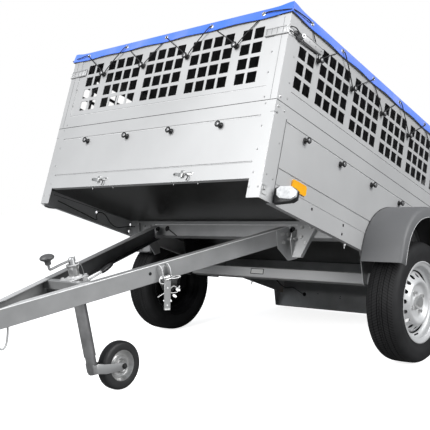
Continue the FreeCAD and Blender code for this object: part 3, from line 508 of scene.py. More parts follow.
class Maker:
    """A mesh in progress, in millimetres of one of the trailer's frames."""

    def __init__(self) -> None:
        """Start an empty mesh."""
        self.mesh = bmesh.new()

    def block(self, low: Point, high: Point, round_by: float = 0,
              steps: int = 1) -> None:
        """Add a box, with its edges rounded if asked.

        Args:
            low: The lowest corner.
            high: The highest corner.
            round_by: Width of the rounding.
            steps: Segments of the rounding.
        """
        size = [b - a for a, b in zip(low, high)]
        middle = [(a + b) / 2 for a, b in zip(low, high)]
        place = Matrix.Translation(middle) @ Matrix.Diagonal((*size, 1))
        made = bmesh.ops.create_cube(self.mesh, size=1, matrix=place)
        if round_by:
            edges = {e for v in made["verts"] for e in v.link_edges}
            self.round_edges(edges, round_by, steps)

    def round_edges(self, edges: Iterable, width: float, steps: int, **limits: bool) -> None:
        """Bevel some edges of the mesh."""
        bmesh.ops.bevel(self.mesh, geom=list(edges), offset=width, offset_type="OFFSET",
                        segments=steps, profile=0.5, affect="EDGES", material=-1, **limits)

    def rod(self, start: Point, end: Point, radius: float,
            sides: int = 12, end_radius: float | None = None) -> None:
        """Add a round bar or a cone between two points.

        Args:
            start: Middle of one end.
            end: Middle of the other end.
            radius: Radius at the start.
            sides: Number of flat sides.
            end_radius: Radius at the end, the same where it isn't given.
        """
        a, b = Vector(start), Vector(end)
        turn = (b - a).to_track_quat("Z", "Y").to_matrix().to_4x4()
        place = Matrix.Translation((a + b) / 2) @ turn
        bmesh.ops.create_cone(self.mesh, cap_ends=True, segments=sides, radius1=radius,
                              radius2=radius if end_radius is None else end_radius,
                              depth=(b - a).length, matrix=place)

    def pin(self, axis: Axis, start: float, end: float, flat: Flat, radius: float,
            sides: int = 12, end_radius: float | None = None) -> None:
        """Add a round bar or a cone along an axis.

        Args:
            axis: The axis.
            start: Where it starts along the axis.
            end: Where it ends.
            flat: Its place on the other two axes.
            radius: Radius at the start.
            sides: Number of flat sides.
            end_radius: Radius at the end, the same where it isn't given.
        """
        self.rod(axis.spot(start, flat), axis.spot(end, flat), radius, sides, end_radius)

    def lathe(self, profile: Sequence[Flat], centre: Point,
              axis: Point, steps: int, closed: bool = False) -> list:
        """Spin a (depth, radius) profile round an axis.

        Args:
            profile: Points as depth along the axis and radius.
            centre: Where depth is nought.
            axis: Direction of growing depth.
            steps: Steps of the full turn.
            closed: Whether the profile's ends are joined.

        Returns:
            The new vertices.
        """
        before = set(self.mesh.verts)
        along = Vector(axis).normalized()
        across = along.orthogonal().normalized()
        spots = [self.mesh.verts.new(Vector(centre) + along * d + across * r)
                 for d, r in profile]
        pairs = list(zip(spots, spots[1:]))
        if closed:
            pairs.append((spots[-1], spots[0]))
        lines = [self.mesh.edges.new(pair) for pair in pairs]
        bmesh.ops.spin(self.mesh, geom=spots + lines, cent=Vector(centre), axis=along,
                       angle=math.tau, steps=steps, use_merge=True, use_duplicate=False)
        return [v for v in self.mesh.verts if v not in before]

    def plate(self, outline: Sequence[Point], push: Point,
              round_by: float = 0, steps: int = 2) -> None:
        """Add a flat outline pushed into a solid.

        Args:
            outline: Its corners, all in one plane.
            push: The way and distance to push it.
            round_by: Width of the rounding on all its edges.
            steps: Segments of the rounding.
        """
        face = self.mesh.faces.new([self.mesh.verts.new(p) for p in outline])
        made = bmesh.ops.extrude_face_region(self.mesh, geom=[face], use_keep_orig=True)
        moved = [g for g in made["geom"] if isinstance(g, bmesh.types.BMVert)]
        bmesh.ops.translate(self.mesh, verts=moved, vec=Vector(push))
        if round_by:
            edges = {e for v in moved + list(face.verts) for e in v.link_edges}
            self.round_edges(edges, round_by, steps)

    def sheet(self, axis: Axis, at: float, outline: Iterable[Flat], thick: float,
              round_by: float = 0, steps: int = 2) -> None:
        """Add a flat solid that stands square on an axis.

        Args:
            axis: The axis.
            at: Where its first side lies along the axis.
            outline: Its corners on the other two axes.
            thick: How far its other side is from the first.
            round_by: Width of the rounding on all its edges.
            steps: Segments of the rounding.
        """
        self.plate([axis.spot(at, flat) for flat in outline], axis.spot(thick), round_by,
                   steps)

    def mirror_copy(self) -> None:
        """Add the same shape on the right side of the trailer."""
        every = self.mesh.verts[:] + self.mesh.edges[:] + self.mesh.faces[:]
        made = bmesh.ops.duplicate(self.mesh, geom=every)
        verts = [g for g in made["geom"] if isinstance(g, bmesh.types.BMVert)]
        bmesh.ops.transform(self.mesh, matrix=RIGHT, verts=verts)

    def turn(self, matrix: Matrix, keep: Iterable = ()) -> None:
        """Move everything made so far, but for the vertices to keep."""
        moved = [v for v in self.mesh.verts if v not in keep]
        bmesh.ops.transform(self.mesh, matrix=matrix, verts=moved)

    def finish(self, name: str, place: Matrix, body: str, paint: Paint,
               dresser: Dresser, weld: float = 0.01,
               open_top: bool = False) -> bpy.types.Object:
        """Turn the mesh into a finished piece.

        Args:
            name: The piece's name.
            place: Matrix from its millimetres to the row frame.
            body: The CAD body that it moves with.
            paint: Its finish.
            dresser: Who puts the finish on.
            weld: Distance in millimetres below which points are merged.
            open_top: Whether it is an open shell whose first face must look up.

        Returns:
            The new object, at the origin.
        """
        bmesh.ops.remove_doubles(self.mesh, verts=self.mesh.verts, dist=weld)
        bmesh.ops.transform(self.mesh, matrix=place, verts=self.mesh.verts)
        bmesh.ops.recalc_face_normals(self.mesh, faces=self.mesh.faces)
        self.mesh.faces.ensure_lookup_table()
        if open_top and self.mesh.faces[0].normal.z < 0:
            bmesh.ops.reverse_faces(self.mesh, faces=self.mesh.faces)
        data = bpy.data.meshes.new(name)
        self.mesh.to_mesh(data)
        self.mesh.free()
        data.shade_smooth()
        data.set_sharp_from_angle(angle=SMOOTH_ANGLE)
        piece = bpy.data.objects.new(name, data)
        bpy.context.scene.collection.objects.link(piece)
        dresser.dress(piece, paint)
        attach(piece, body)
        LOG.info("piece %s, %d faces, on %s", name, len(data.polygons), body)
        return piece


def wide_side(face: bmesh.types.BMFace) -> float:
    """Estimate a flat face's width from its area and its longest edge."""
    return face.calc_area() / max(e.calc_length() for e in face.edges)


def keep_flat(data: bpy.types.Mesh, width: float) -> None:
    """Shade a mesh's wide faces flat, so that only its rounded bends shade smoothly.

    Args:
        data: The mesh, in metres.
        width: Faces wider than this are flat, in metres.
    """
    for face in data.polygons:
        spots = [data.vertices[k].co for k in face.vertices]
        longest = max((a - b).length for a, b in zip(spots, spots[1:] + spots[:1]))
        face.use_smooth = face.area / longest < width


@dataclass
class Assembly:
    """Pieces that are made and dressed together."""

    dresser: Dresser

    def add(self, shape: Maker, name: str, paint: Paint, body: str = "load_body",
            node: str = "", open_top: bool = False) -> bpy.types.Object:
        """Finish a mesh drawn in its body's own frame.

        Args:
            shape: The mesh.
            name: The piece's name.
            paint: Its finish.
            body: The CAD body that it moves with.
            node: The CAD node whose place it takes, if any.
            open_top: Whether it is an open shell whose first face must look up.

        Returns:
            The new piece.
        """
        piece = shape.finish(name, HOMES[body], body, paint, self.dresser, open_top=open_top)
        if node:
            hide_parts(node)
        return piece

    def wear(self, piece: bpy.types.Object, *paints: Paint) -> None:
        """Give a piece further finishes, for some of its faces."""
        for paint in paints:
            piece.data.materials.append(self.dresser.material(paint))

    def rounded(self, node: str, paint: Paint, width: float = 0.0) -> bpy.types.Object:
        """Replace a CAD node by its own merged mesh with its outer bends rounded.

        Args:
            node: The node's name.
            paint: The finish.
            width: Width of the rounding in millimetres, or nought for none.

        Returns:
            The new piece.
        """
        source = frame["nodes"][node]
        shape = Maker()
        mesh = shape.mesh
        mesh.from_mesh(source.data)
        bmesh.ops.remove_doubles(mesh, verts=mesh.verts, dist=0.00002)
        if width:
            bmesh.ops.dissolve_limit(mesh, angle_limit=0.01, verts=mesh.verts,
                                     edges=mesh.edges)
            mesh.normal_update()
            room, sharp = 2.2 * width * MM, 0.9
            bends = [e for e in mesh.edges
                     if len(e.link_faces) == 2 and e.is_convex
                     and e.calc_face_angle(0) > sharp
                     and all(wide_side(f) > room for f in e.link_faces)]
            shape.round_edges(bends, width * MM, 2, clamp_overlap=True)
            LOG.info("node %s, %d bends rounded", node, len(bends))
        piece = shape.finish(node + "_formed", STILL, source["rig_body"], paint, self.dresser,
                             weld=0.00001)
        if width:
            keep_flat(piece.data, 1.2 * width * MM)
        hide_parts(node)
        return piece

    def wire(self, name: str, points: Iterable[Point], radius: float, paint: Paint,
             body: str = "load_body", place: Matrix | None = None) -> bpy.types.Object:
        """Lay a rope or a bent wire through points.

        Args:
            name: The piece's name.
            points: Its route in millimetres.
            radius: Its radius in millimetres.
            paint: Its finish.
            body: The CAD body that it moves with.
            place: Matrix from its millimetres to the row frame, if not its body's own.

        Returns:
            The curve object.
        """
        curve = bpy.data.curves.new(name, "CURVE")
        curve.dimensions = "3D"
        curve.bevel_depth = radius * MM
        curve.bevel_resolution = 2
        curve.resolution_u = 5
        curve.use_fill_caps = True
        route = [(place or HOMES[body]) @ Vector(p) for p in points]
        line = curve.splines.new("NURBS")
        line.points.add(len(route) - 1)
        for spot, at in zip(line.points, route):
            spot.co = (*at, 1)
        line.order_u = 3
        line.use_endpoint_u = True
        piece = bpy.data.objects.new(name, curve)
        bpy.context.scene.collection.objects.link(piece)
        self.dresser.dress(piece, paint)
        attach(piece, body)
        LOG.info("wire %s through %d points", name, len(route))
        return piece


@dataclass
class Cover(Assembly):
    """The laced cover: cloth, eyelets and the rope round the hooks."""

    thick: float = 0.8
    skirt: float = 41.0
    eyelet_up: float = 765.0
    hook_up: float = 646.0
    rope: float = 2.3
    stand: float = 3.2
    belly: float = 4.0
    drape: float = 1.2
    end_pitch: float = 275.5
    side_first: float = 218.25
    side_pitch: float = 273.2
    end_eyelets: tuple[float, ...] = (-560.0, -280.0, -15.0, 255.0, 531.0)
    side_eyelets: tuple[float, ...] = (134.0, 372.0, 645.0, 905.0, 1187.0, 1452.0, 1722.0,
                                       1965.0)
    hook_places: dict[Wall, list[float]] = field(default_factory=dict)

    def find_hooks(self) -> None:
        """Work out the hooks' places along each wall, as the frame has them."""
        ends = [(k + 0.5) * self.end_pitch for k in range(-2, 2)]
        sides = [self.side_first + self.side_pitch * k for k in range(7)]
        self.hook_places = {wall: ends if wall.is_end else sides for wall in Wall}

    def eyelets(self, wall: Wall) -> tuple[float, ...]:
        """Give the eyelets' places along a wall, one more than the hooks."""
        return self.end_eyelets if wall.is_end else self.side_eyelets

    def slack(self, wall: Wall, along: float, reach: float) -> float:
        """Tell how free the cloth is there: nought at an eyelet and one well away from it."""
        near = min(abs(along - e) for e in self.eyelets(wall))
        return 1 - math.exp(-(near / reach) ** 2)

    def surface(self, wall: Wall, along: float, drop: float) -> float:
        """Tell how far the skirt stands off the wall.

        Args:
            wall: The wall it hangs on.
            along: The place along the wall.
            drop: Nought at the top and one at the hem.

        Returns:
            The distance in millimetres.
        """
        slack = self.slack(wall, along, 70.0)
        ripple = math.sin(along / 37.0) + 0.6 * math.sin(along / 15.0 + 1.3)
        return self.stand + drop * (1.2 + self.belly * slack + 0.5 * ripple * slack)

    def hem(self, wall: Wall, along: float) -> float:
        """Tell how far the hem rises between the eyelets."""
        return 3.0 * self.slack(wall, along, 90.0)

    @staticmethod
    def sag(x: float, y: float) -> float:
        """Tell how far the top hangs between the walls."""
        across = math.cos(math.pi * y / (2 * HALF))
        along = math.sin(math.pi * min(max(-x / LENGTH, 0), 1))
        ripple = math.sin(x / 160.0 + y / 300.0) * math.sin(y / 130.0)
        return max(0.0, across * along) * (16.0 + 2.0 * ripple)

    @staticmethod
    def peak(x: float, y: float) -> float:
        """Tell how far the cloth stands up at a corner's fold."""
        ends = min(abs(x), abs(x + LENGTH))
        return 8.0 * math.exp(-(ends ** 2 + (HALF - abs(y)) ** 2) / 45.0 ** 2)

    def cloth(self) -> bpy.types.Object:
        """Make the cloth as a grid with its edges folded down the walls.

        Returns:
            The cloth piece.
        """
        shape = Maker()
        place = Matrix.Translation((-LENGTH / 2, 0, PANEL_TOP)) @ Matrix.Diagonal(
            (LENGTH / 2, HALF, 1, 1))
        bmesh.ops.create_grid(shape.mesh, x_segments=168, y_segments=108, size=1, matrix=place)
        for vert in shape.mesh.verts:
            x, y = vert.co.x, vert.co.y
            vert.co.z += self.drape - self.sag(x, y) + self.peak(x, y)
        rim = [e for e in shape.mesh.edges if e.is_boundary]
        for drop in (0.02, 0.35, 0.62, 0.84, 0.93, 1.0):
            made = bmesh.ops.extrude_edge_only(shape.mesh, edges=rim)["geom"]
            rim = [g for g in made if isinstance(g, bmesh.types.BMEdge)]
            for vert in (g for g in made if isinstance(g, bmesh.types.BMVert)):
                self.hang(vert, drop)
        self.unwrap(shape.mesh)
        piece = self.add(shape, "cover_cloth", Paint.COVER_BLUE, open_top=True)
        thick = piece.modifiers.new("thickness", "SOLIDIFY")
        thick.thickness = self.thick * MM
        thick.offset = 1
        self.wear(piece, Paint.COVER_INSIDE)
        thick.material_offset = 1
        return piece

    def hang(self, vert: bmesh.types.BMVert, drop: float) -> None:
        """Put one point of the skirt in its place.

        Args:
            vert: The point, on the top's edge or the row above.
            drop: Nought at the top and one at the hem.
        """
        x = min(max(vert.co.x, -LENGTH), 0.0)
        y = min(max(vert.co.y, -HALF), HALF)
        rise = 0.0
        if abs(abs(y) - HALF) < 0.01:
            wall = Wall.LEFT if y > 0 else Wall.RIGHT
            vert.co.y = math.copysign(HALF + self.surface(wall, -x, drop), y)
            rise = self.hem(wall, -x)
        if abs(x) < 0.01 or abs(x + LENGTH) < 0.01:
            wall = Wall.FRONT if x > -1 else Wall.REAR
            vert.co.x = wall.point(y, 0, self.surface(wall, y, drop)).x
            rise = self.hem(wall, y)
        lift = (1 - drop) * self.peak(x, y)
        vert.co.z = PANEL_TOP + self.drape + lift - drop * (self.skirt - rise)

    def unwrap(self, mesh: bmesh.types.BMesh) -> None:
        """Give every corner its flat place on the cloth, in metres."""
        layer = mesh.loops.layers.uv.new("cloth")
        for face in mesh.faces:
            for loop in face.loops:
                co = loop.vert.co
                down, ahead = PANEL_TOP - co.z, co.x + LENGTH / 2
                edge_x = math.copysign(down, ahead) if abs(ahead) > LENGTH / 2 else 0
                edge_y = math.copysign(down, co.y) if abs(co.y) > HALF else 0
                loop[layer].uv = ((co.x + edge_x) * MM, (co.y + edge_y) * MM)

    def rings(self) -> list[bpy.types.Object]:
        """Make the eyelets' rings and the dark discs in them, painted shade that stands for the
        holes.
        """
        shape, holes = Maker(), Maker()
        profile = [(-1.5, 5.2), (0.9, 5.2), (1.8, 6.8), (0.9, 9.8), (-0.6, 10.0)]
        drop = (PANEL_TOP - self.eyelet_up) / self.skirt
        for wall in Wall:
            way = wall.outwards()
            for along in self.eyelets(wall):
                out = self.surface(wall, along, drop) + self.thick
                spot = wall.point(along, self.eyelet_up, out)
                shape.lathe(profile, spot, way, 16, closed=True)
                # Painted shade: a dark disc in each ring stands for the shaded hole.
                holes.rod(spot - way * 0.6, spot + way * 0.4, 5.3, 12)
        backs = self.add(holes, "eyelet_holes", Paint.SEAM_DARK_AND_SHADE)
        return [self.add(shape, "cover_eyelets", Paint.BRIGHT_ZINC), backs]

    def bay(self, wall: Wall, a: float, hook: float, b: float, over: bool) -> list[Vector]:
        """Route the rope from one eyelet round a hook to the next.

        Args:
            wall: The wall.
            a: The first eyelet.
            hook: The hook.
            b: The second eyelet.
            over: Whether the rope runs outside the cloth or behind it.

        Returns:
            Points in the body's frame.
        """
        way = 1 if b > a else -1
        low_hem = PANEL_TOP - self.skirt - 6
        outside, lean = self.stand + self.belly + 6.0, 0.25
        at_ring, at_hem = (outside, outside) if over else (0.5, 2.0)
        turn = ((-9, 14, 5.0), (-8, -5, 6.0), (0, -9.5, 6.0), (8, -5, 6.0), (9, 14, 5.0))
        spots = [(a, self.eyelet_up, at_ring), (a + lean * (hook - a), low_hem, at_hem),
                 *((hook + way * u, self.hook_up + v, out) for u, v, out in turn),
                 (b - lean * (b - hook), low_hem, at_hem), (b, self.eyelet_up, at_ring)]
        return [wall.point(*spot) for spot in spots]

    def lacing(self) -> None:
        """Lay one rope all the way round the load body."""
        route: list[Vector] = []
        out, up = self.stand + self.belly + 6, self.eyelet_up
        for wall, way, first, start, stop in (
                (Wall.FRONT, 1, 0, -HALF, HALF), (Wall.LEFT, 1, 1, 0, LENGTH),
                (Wall.REAR, -1, 0, HALF, -HALF), (Wall.RIGHT, -1, 1, LENGTH, 0)):
            rings = self.eyelets(wall)[::way]
            route.append(wall.point(start + way * 25, up - 9, out))
            route.append(wall.point(rings[0] - way * 22, up - 2, out))
            for k, hook in enumerate(self.hook_places[wall][::way]):
                route += self.bay(wall, rings[k], hook, rings[k + 1], k % 2 == first)
            for part, rise in ((0.2, -1), (0.7, -8)):
                along = rings[-1] + part * (stop - rings[-1])
                route.append(wall.point(along, up + rise, out))
            route.append(wall.point(stop + way * out * 0.8, up - 12, out * 0.8))
        self.wire("cover_rope", route, self.rope, Paint.ROPE_BLACK)

    def build(self) -> None:
        """Make the cover's cloth, eyelets and rope in place of the CAD node."""
        self.find_hooks()
        cloth = self.cloth()
        rings = self.rings()
        self.lacing()
        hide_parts("cover")


@dataclass
class Hooks(Assembly):
    """Rope hooks: moulded knobs with a screw in each."""

    cover: Cover
    low: float = 302.0
    high: float = 646.0

    def build(self) -> None:
        """Make the knobs, their bright caps and their screws."""
        knobs, caps = Maker(), Maker()
        body = [(0, 0.1), (0, 12.5), (2, 12.5), (8, 7.8), (13, 6.6), (15.5, 8), (17, 12.2),
                (19, 13.6), (21.5, 13.6), (23.4, 12.4), (23.4, 10.2), (21.5, 9), (21.5, 0.1)]
        cap = [(21.5, 0.1), (21.5, 8.6), (23.6, 8), (25, 5.5), (25, 3.2), (23.8, 3),
               (23.8, 0.1)]
        for wall in Wall:
            for up in (self.high,) if wall is Wall.REAR else (self.low, self.high):
                face = -PRESS if up == self.high else 0.0
                for along in self.cover.hook_places[wall]:
                    at = wall.point(along, up, face)
                    knobs.lathe(body, at, wall.outwards(), 18)
                    caps.lathe(cap, at, wall.outwards(), 12)
        self.add(knobs, "hook_knobs", Paint.BLACK_PLASTIC_AND_SHADE, node="rope_hooks")
        self.add(caps, "hook_screws", Paint.HOOK_GREY)


@dataclass
class RoadWheels(Assembly):
    """Tyres with their tread, rims with their vents, bolts and caps."""

    radius: float = 272.9
    steps: int = 96
    cuts: int = 132
    vents: int = 16
    vent_ring: float = 119.0
    vent_radius: float = 10.2
    bolt_ring: float = 49.0

    def tyre_profile(self) -> list[Flat]:
        """Draw half of the tyre's section with its grooves, then the mirrored half."""
        r = self.radius
        return doubled([
            (55.7, 165.3), (57.5, 178), (66, 185), (70, 189), (69.5, 192), (74.5, 206),
            (76.8, 219), (77.5, 230), (76.6, 233), (76.2, 243), (73.0, 252), (68.5, 259.5),
            (62, 265), (54, 269), (44, r - 1.4), (38.8, r - 1.2), (38.5, r - 4), (36.2, r - 4),
            (35.9, r - 0.8), (13.4, r - 0.1), (13.1, r - 4), (10.8, r - 4), (10.5, r)])

    def tyre(self, side: str) -> None:
        """Make one tyre."""
        shape = Maker()
        shape.lathe(self.tyre_profile(), (0, 0, 0), Axis.Y.value, self.steps, closed=True)
        self.unwrap(shape.mesh)
        self.add(shape, f"tyre_tread_{side}", Paint.TYRE_RUBBER, f"wheel_{side}",
                 f"tyre_{side}")

    def unwrap(self, mesh: bmesh.types.BMesh) -> None:
        """Map the tyre: U counts the cuts round it, V is one at the shoulder's edge."""
        layer = mesh.loops.layers.uv.new("tread")
        wall_below, wall_depth, shoulder = 262, 80, 62
        for face in mesh.faces:
            middle = face.calc_center_median()
            base = math.atan2(middle.z, middle.x)
            for loop in face.loops:
                co = loop.vert.co
                turn = math.atan2(co.z, co.x) - base
                turn = base + (turn + math.pi) % math.tau - math.pi
                on_tread = math.hypot(co.x, co.z) > wall_below
                deep = co.y if on_tread else math.copysign(wall_depth, co.y)
                loop[layer].uv = (turn / math.tau * self.cuts, deep / shoulder)

    def rim(self, side: str, way: int) -> None:
        """Make one rim from its barrel and its vented disc, Y outwards by its way."""
        shape = Maker()
        barrel = [(68, 182.5), (67, 184.3), (64.5, 184), (62.5, 180), (59.5, 168.5), (56, 165),
                  (40, 163.2), (34, 158), (30, 147), (26, 145.5), (-26, 145.5), (-30, 147),
                  (-40, 163), (-56, 165), (-60, 170), (-63, 181), (-68, 182.5)]
        inner = [(d, r - 3.2) for d, r in reversed(barrel)]
        shape.lathe(barrel + inner, (0, 0, 0), Axis.Y.value, 72, closed=True)
        disc = [(2, 143.5), (10, 142.8), (16, 140), (21, 136), (26, 131), (38, 119.5),
                (49, 108), (55, 102.5), (58.5, 96), (58.5, 90), (54, 84), (47, 79),
                (41.5, 73), (40, 66), (39.5, 34), (43, 31), (43, 27.5)]
        before = set(shape.mesh.faces)
        shape.lathe(disc, (0, 0, 0), Axis.Y.value, self.vents * 6)
        self.cut_vents(shape, [f for f in shape.mesh.faces if f not in before])
        piece = self.add(shape, f"rim_formed_{side}", Paint.RIM_SILVER, f"wheel_{side}")
        self.darken_inside(piece, way)
        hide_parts(f"rim_{side}")

    def darken_inside(self, piece: bpy.types.Object, way: int) -> None:
        """Give the rim's inner side black paint as painted shade.

        Args:
            piece: The rim.
            way: Which way is outwards along Y.
        """
        self.wear(piece, Paint.BLACK_COAT_AND_SHADE)
        axle = BODY @ Vector((AXLE[0], way * TRACK_HALF, AXLE[1]))
        for face in piece.data.polygons:
            at = face.center - axle
            away = Vector((at.x, 0, at.z)).normalized()
            deep = at.y * way / MM < 22
            inwards = -face.normal.y * way
            # Painted shade: faces that look inwards, and faces inside the barrel, turn black.
            if inwards > 0.25 or (deep and face.normal.dot(away) < -0.5):
                face.material_index = 1

    def cut_vents(self, shape: Maker, faces: list) -> None:
        """Open the ring of oval vents in the disc and give the disc its thickness.

        Args:
            shape: The rim in progress.
            faces: The disc's faces.
        """
        pitch = math.tau / self.vents
        gone = []
        for face in faces:
            middle = face.calc_center_median()
            turn = (math.atan2(middle.z, middle.x) / pitch) % 1
            if 108 < math.hypot(middle.x, middle.z) < 131 and 0.2 < turn < 0.8:
                gone.append(face)
        for vert in {v for f in gone for v in f.verts}:
            self.round_vent(vert, pitch)
        bmesh.ops.delete(shape.mesh, geom=gone, context="FACES")
        left = [f for f in faces if f.is_valid]
        bmesh.ops.recalc_face_normals(shape.mesh, faces=left)
        bmesh.ops.solidify(shape.mesh, geom=left, thickness=3.0)

    def round_vent(self, vert: bmesh.types.BMVert, pitch: float) -> None:
        """Move a corner of a square vent on to its oval.

        Args:
            vert: The point on the vent's edge.
            pitch: The angle from vent to vent.
        """
        far = math.hypot(vert.co.x, vert.co.z)
        angle = math.atan2(vert.co.z, vert.co.x)
        middle = (math.floor(angle / pitch) + 0.5) * pitch
        across, up = (angle - middle) * far, far - self.vent_ring
        size = math.hypot(across / self.vent_radius, up / self.vent_radius)
        if size < 0.4:
            return
        far_new = self.vent_ring + up / size
        angle_new = middle + across / size / far
        slope = 1.02
        vert.co = Vector((far_new * math.cos(angle_new), vert.co.y - (far_new - far) * slope,
                          far_new * math.sin(angle_new)))

    def fittings(self, side: str) -> None:
        """Make the wheel bolts, the dust cap and the valve."""
        shape, valve = Maker(), Maker()
        for k in range(4):
            angle = math.tau * (k + 0.5) / 4
            spot = (self.bolt_ring * math.cos(angle), self.bolt_ring * math.sin(angle))
            shape.pin(Axis.Y, 39, 44, spot, 11, 16, 9)
            shape.pin(Axis.Y, 43, 54, spot, 8.2, 6)
        cap = [(39, 27.3), (57, 26.5), (61.5, 24), (63, 18), (63.3, 0.1)]
        shape.lathe(cap, (0, 0, 0), Axis.Y.value, 32)
        self.add(shape, f"wheel_bolts_{side}", Paint.BRIGHT_ZINC, f"wheel_{side}")
        valve.rod((0, 50, -150), (0, 66, -140), 3.6, 10)
        self.add(valve, f"valve_{side}", Paint.BLACK_RUBBER, f"wheel_{side}")

    def build(self) -> None:
        """Make both wheels."""
        for way, side in HANDS:
            self.tyre(side)
            self.rim(side, way)
            self.fittings(side)


@dataclass
class JockeyWheel(Assembly):
    """The small wheel, the crank, the clamp and its lever."""

    radius: float = 100.0
    width: float = 50.0
    tube_top: float = 108.0
    reach: float = 108.0
    hub: float = JOCKEY_AT - JOCKEY_TRAIL

    @staticmethod
    def round_leg(shape: Maker, profile: list[Flat], steps: int = 32,
                  closed: bool = False) -> None:
        """Spin a (height, radius) profile round the leg's own axis."""
        shape.lathe(profile, (JOCKEY_AT, 0, 0), Axis.Z.value, steps, closed)

    def wheel(self) -> None:
        """Make the solid tyre and its pressed rim."""
        hub = (self.hub, 0, JOCKEY_HUB)
        w, r = self.width / 2, self.radius
        tyre, rim = Maker(), Maker()
        half = [(w - 6, 62), (w - 1.5, 63.5), (w - 0.5, 67), (w, 70), (w, 84), (w - 1, 90),
                (w - 3.5, 95), (w - 7, 98), (w - 12, 99.5), (w - 18, r)]
        tyre.lathe(doubled(half), hub, Axis.Y.value, 64, closed=True)
        self.add(tyre, "jockey_tyre_formed", Paint.BLACK_RUBBER, "jockey_wheel", "jockey_tyre")
        face = [(w - 5, 62.5), (w - 2.5, 64), (w - 2.5, 61.5), (w - 6, 59), (w - 14, 54),
                (w - 21, 48), (w - 22, 43), (w - 17, 38), (w - 11, 35), (w - 10, 29),
                (w - 13, 25), (w - 18, 22), (w - 5, 19.5), (w - 2, 17), (w - 2, 7)]
        rim.lathe(doubled(face), hub, Axis.Y.value, 48, closed=True)
        self.add(rim, "jockey_rim_formed", Paint.BRIGHT_ZINC, "jockey_wheel", "jockey_rim")

    def fork(self) -> None:
        """Make the leg's closed foot and the two bent arms of the fork."""
        shape, arms = Maker(), Maker()
        self.round_leg(shape, [(-313, 0.1), (-313, 20.9), (-343, 20.9), (-347, 18),
                               (-348, 0.1)])
        hub, low, half = self.hub, JOCKEY_HUB, self.width / 2 + 6
        arm = ((848, -306), (838, -303), (806, -318), (hub + 6, low + 15), (hub - 8, low + 13),
               (hub - 15, low), (hub - 8, low - 13), (hub + 6, low - 15), (806, -359),
               (838, -346), (848, -343))
        bend = ((848, half + 3.5), (854, half - 3), (856, 14), (852, 14), (850, half - 5),
                (845, half))
        for side in (1, -1):
            arms.sheet(Axis.Y, side * half, arm, side * 4, 1)
            arms.sheet(Axis.Z, -343, [(x, side * y) for x, y in bend], 37, 0.8)
        shape.block((816, -half, -343), (850, half, -339), 1)
        shape.pin(Axis.Y, -half - 4, half + 4, (hub, low), 6, 12)
        self.add(shape, "fork_formed", Paint.ZINC_TUBE, "jockey_fork", "jockey_fork")
        self.add(arms, "fork_arms", Paint.ZINC_FRAME, "jockey_fork")

    def axle(self) -> None:
        """Make the axle's bolt heads on the fork."""
        shape = Maker()
        far, hub = self.width / 2 + 10, (self.hub, JOCKEY_HUB)
        shape.pin(Axis.Y, far, far + 2, hub, 12, 20)
        shape.pin(Axis.Y, far + 2, far + 9, hub, 8.5, 6)
        shape.mirror_copy()
        self.add(shape, "jockey_axle_bolts", Paint.BLACK_RUBBER, "jockey_fork")

    def crank(self) -> None:
        """Make the cap, the bent crank and its knob."""
        top = self.tube_top
        metal, grip = Maker(), Maker()
        metal.lathe([(-6, 0.1), (-6, 15), (-2, 14.5), (2, 13.2), (20, 13), (24, 11.5),
                     (27, 8.5), (28, 0.1)], (JOCKEY_AT, 0, top), Axis.Z.value, 32)
        metal.sheet(Axis.X, JOCKEY_AT - 13, ((-9, top + 10), (9, top + 10), (9, top + 30),
                                             (-9, top + 22)), 9, 1)
        self.add(metal, "crank_cap", Paint.ZINC_FRAME, "drawbar", "jockey_crank")
        end = self.reach
        bends = ((8, 17), (50, 14), (end - 14, 8), (end - 1, 8), (end, 20), (end, 44))
        self.wire("crank_rod", [(JOCKEY_AT + u, 0, top + v) for u, v in bends], 5.0,
                  Paint.DULL_ZINC_AND_SHADE, "drawbar")
        grip.lathe([(27, 0.1), (27, 9), (29, 11.5), (40, 12), (44, 15), (47, 22), (50, 26.5),
                    (55, 28.5), (60, 27), (65, 21), (68, 13), (69, 0.1)],
                   (JOCKEY_AT + end, 0, top), Axis.Z.value, 32)
        self.add(grip, "crank_knob", Paint.KNOB_PLASTIC, "drawbar")

    def tube(self) -> None:
        """Make the outer tube, its spot welds and its waisted, ribbed head."""
        low, foot, top = -271.0, 56.3, self.tube_top
        tube, head, ribs = Maker(), Maker(), Maker()
        self.round_leg(tube, [(low, 21), (low, 24), (foot, 24), (foot, 21)], 40, True)
        for z in (-200, -40):
            tube.pin(Axis.Y, 22, 25, (JOCKEY_AT, z), 5, 12)
        self.round_leg(head, [
            (foot, 21), (foot, 28), (foot + 3, 28), (foot + 6, 17), (foot + 12, 14.4),
            (top - 30, 16), (top - 20, 19.5), (top - 11, 23.6), (top - 7, 25.4),
            (top - 1, 25.6), (top, 24.8), (top - 0.5, 22), (top - 9, 21)], 40, True)
        self.round_leg(ribs, [(top - 3, 25.2), (top - 3, 26), (top, 26), (top + 0.6, 24.6),
                              (top, 23.4)], 40, True)
        self.round_leg(ribs, [(foot - 1, 24), (foot - 1, 29), (foot + 3.4, 29),
                              (foot + 5, 24)], 40, True)
        rib = [(foot + 2, 30), (foot + 2, 14), (top - 7, 20), (top - 7, 25.4),
               (top - 20, 21.5), (top - 32, 18.4), (foot + 16, 18), (foot + 8, 21)]
        for k in range(4):
            turn = math.tau * (k + 0.5) / 4
            way = Vector((math.cos(turn), math.sin(turn), 0))
            side = Vector((-way.y, way.x, 0)) * 1.8
            ribs.plate([Vector((JOCKEY_AT, 0, z)) + way * r - side for z, r in rib],
                       side * 2, 0.8)
        self.add(tube, "tube_drawn", Paint.ZINC_TUBE, "drawbar", "jockey_tube")
        self.add(head, "tube_head", Paint.BRIGHT_ZINC, "drawbar")
        # Painted highlight: the head's ribs are near white, lighter than the head's own zinc.
        self.add(ribs, "tube_ribs", Paint.EDGE_LIGHT, "drawbar")

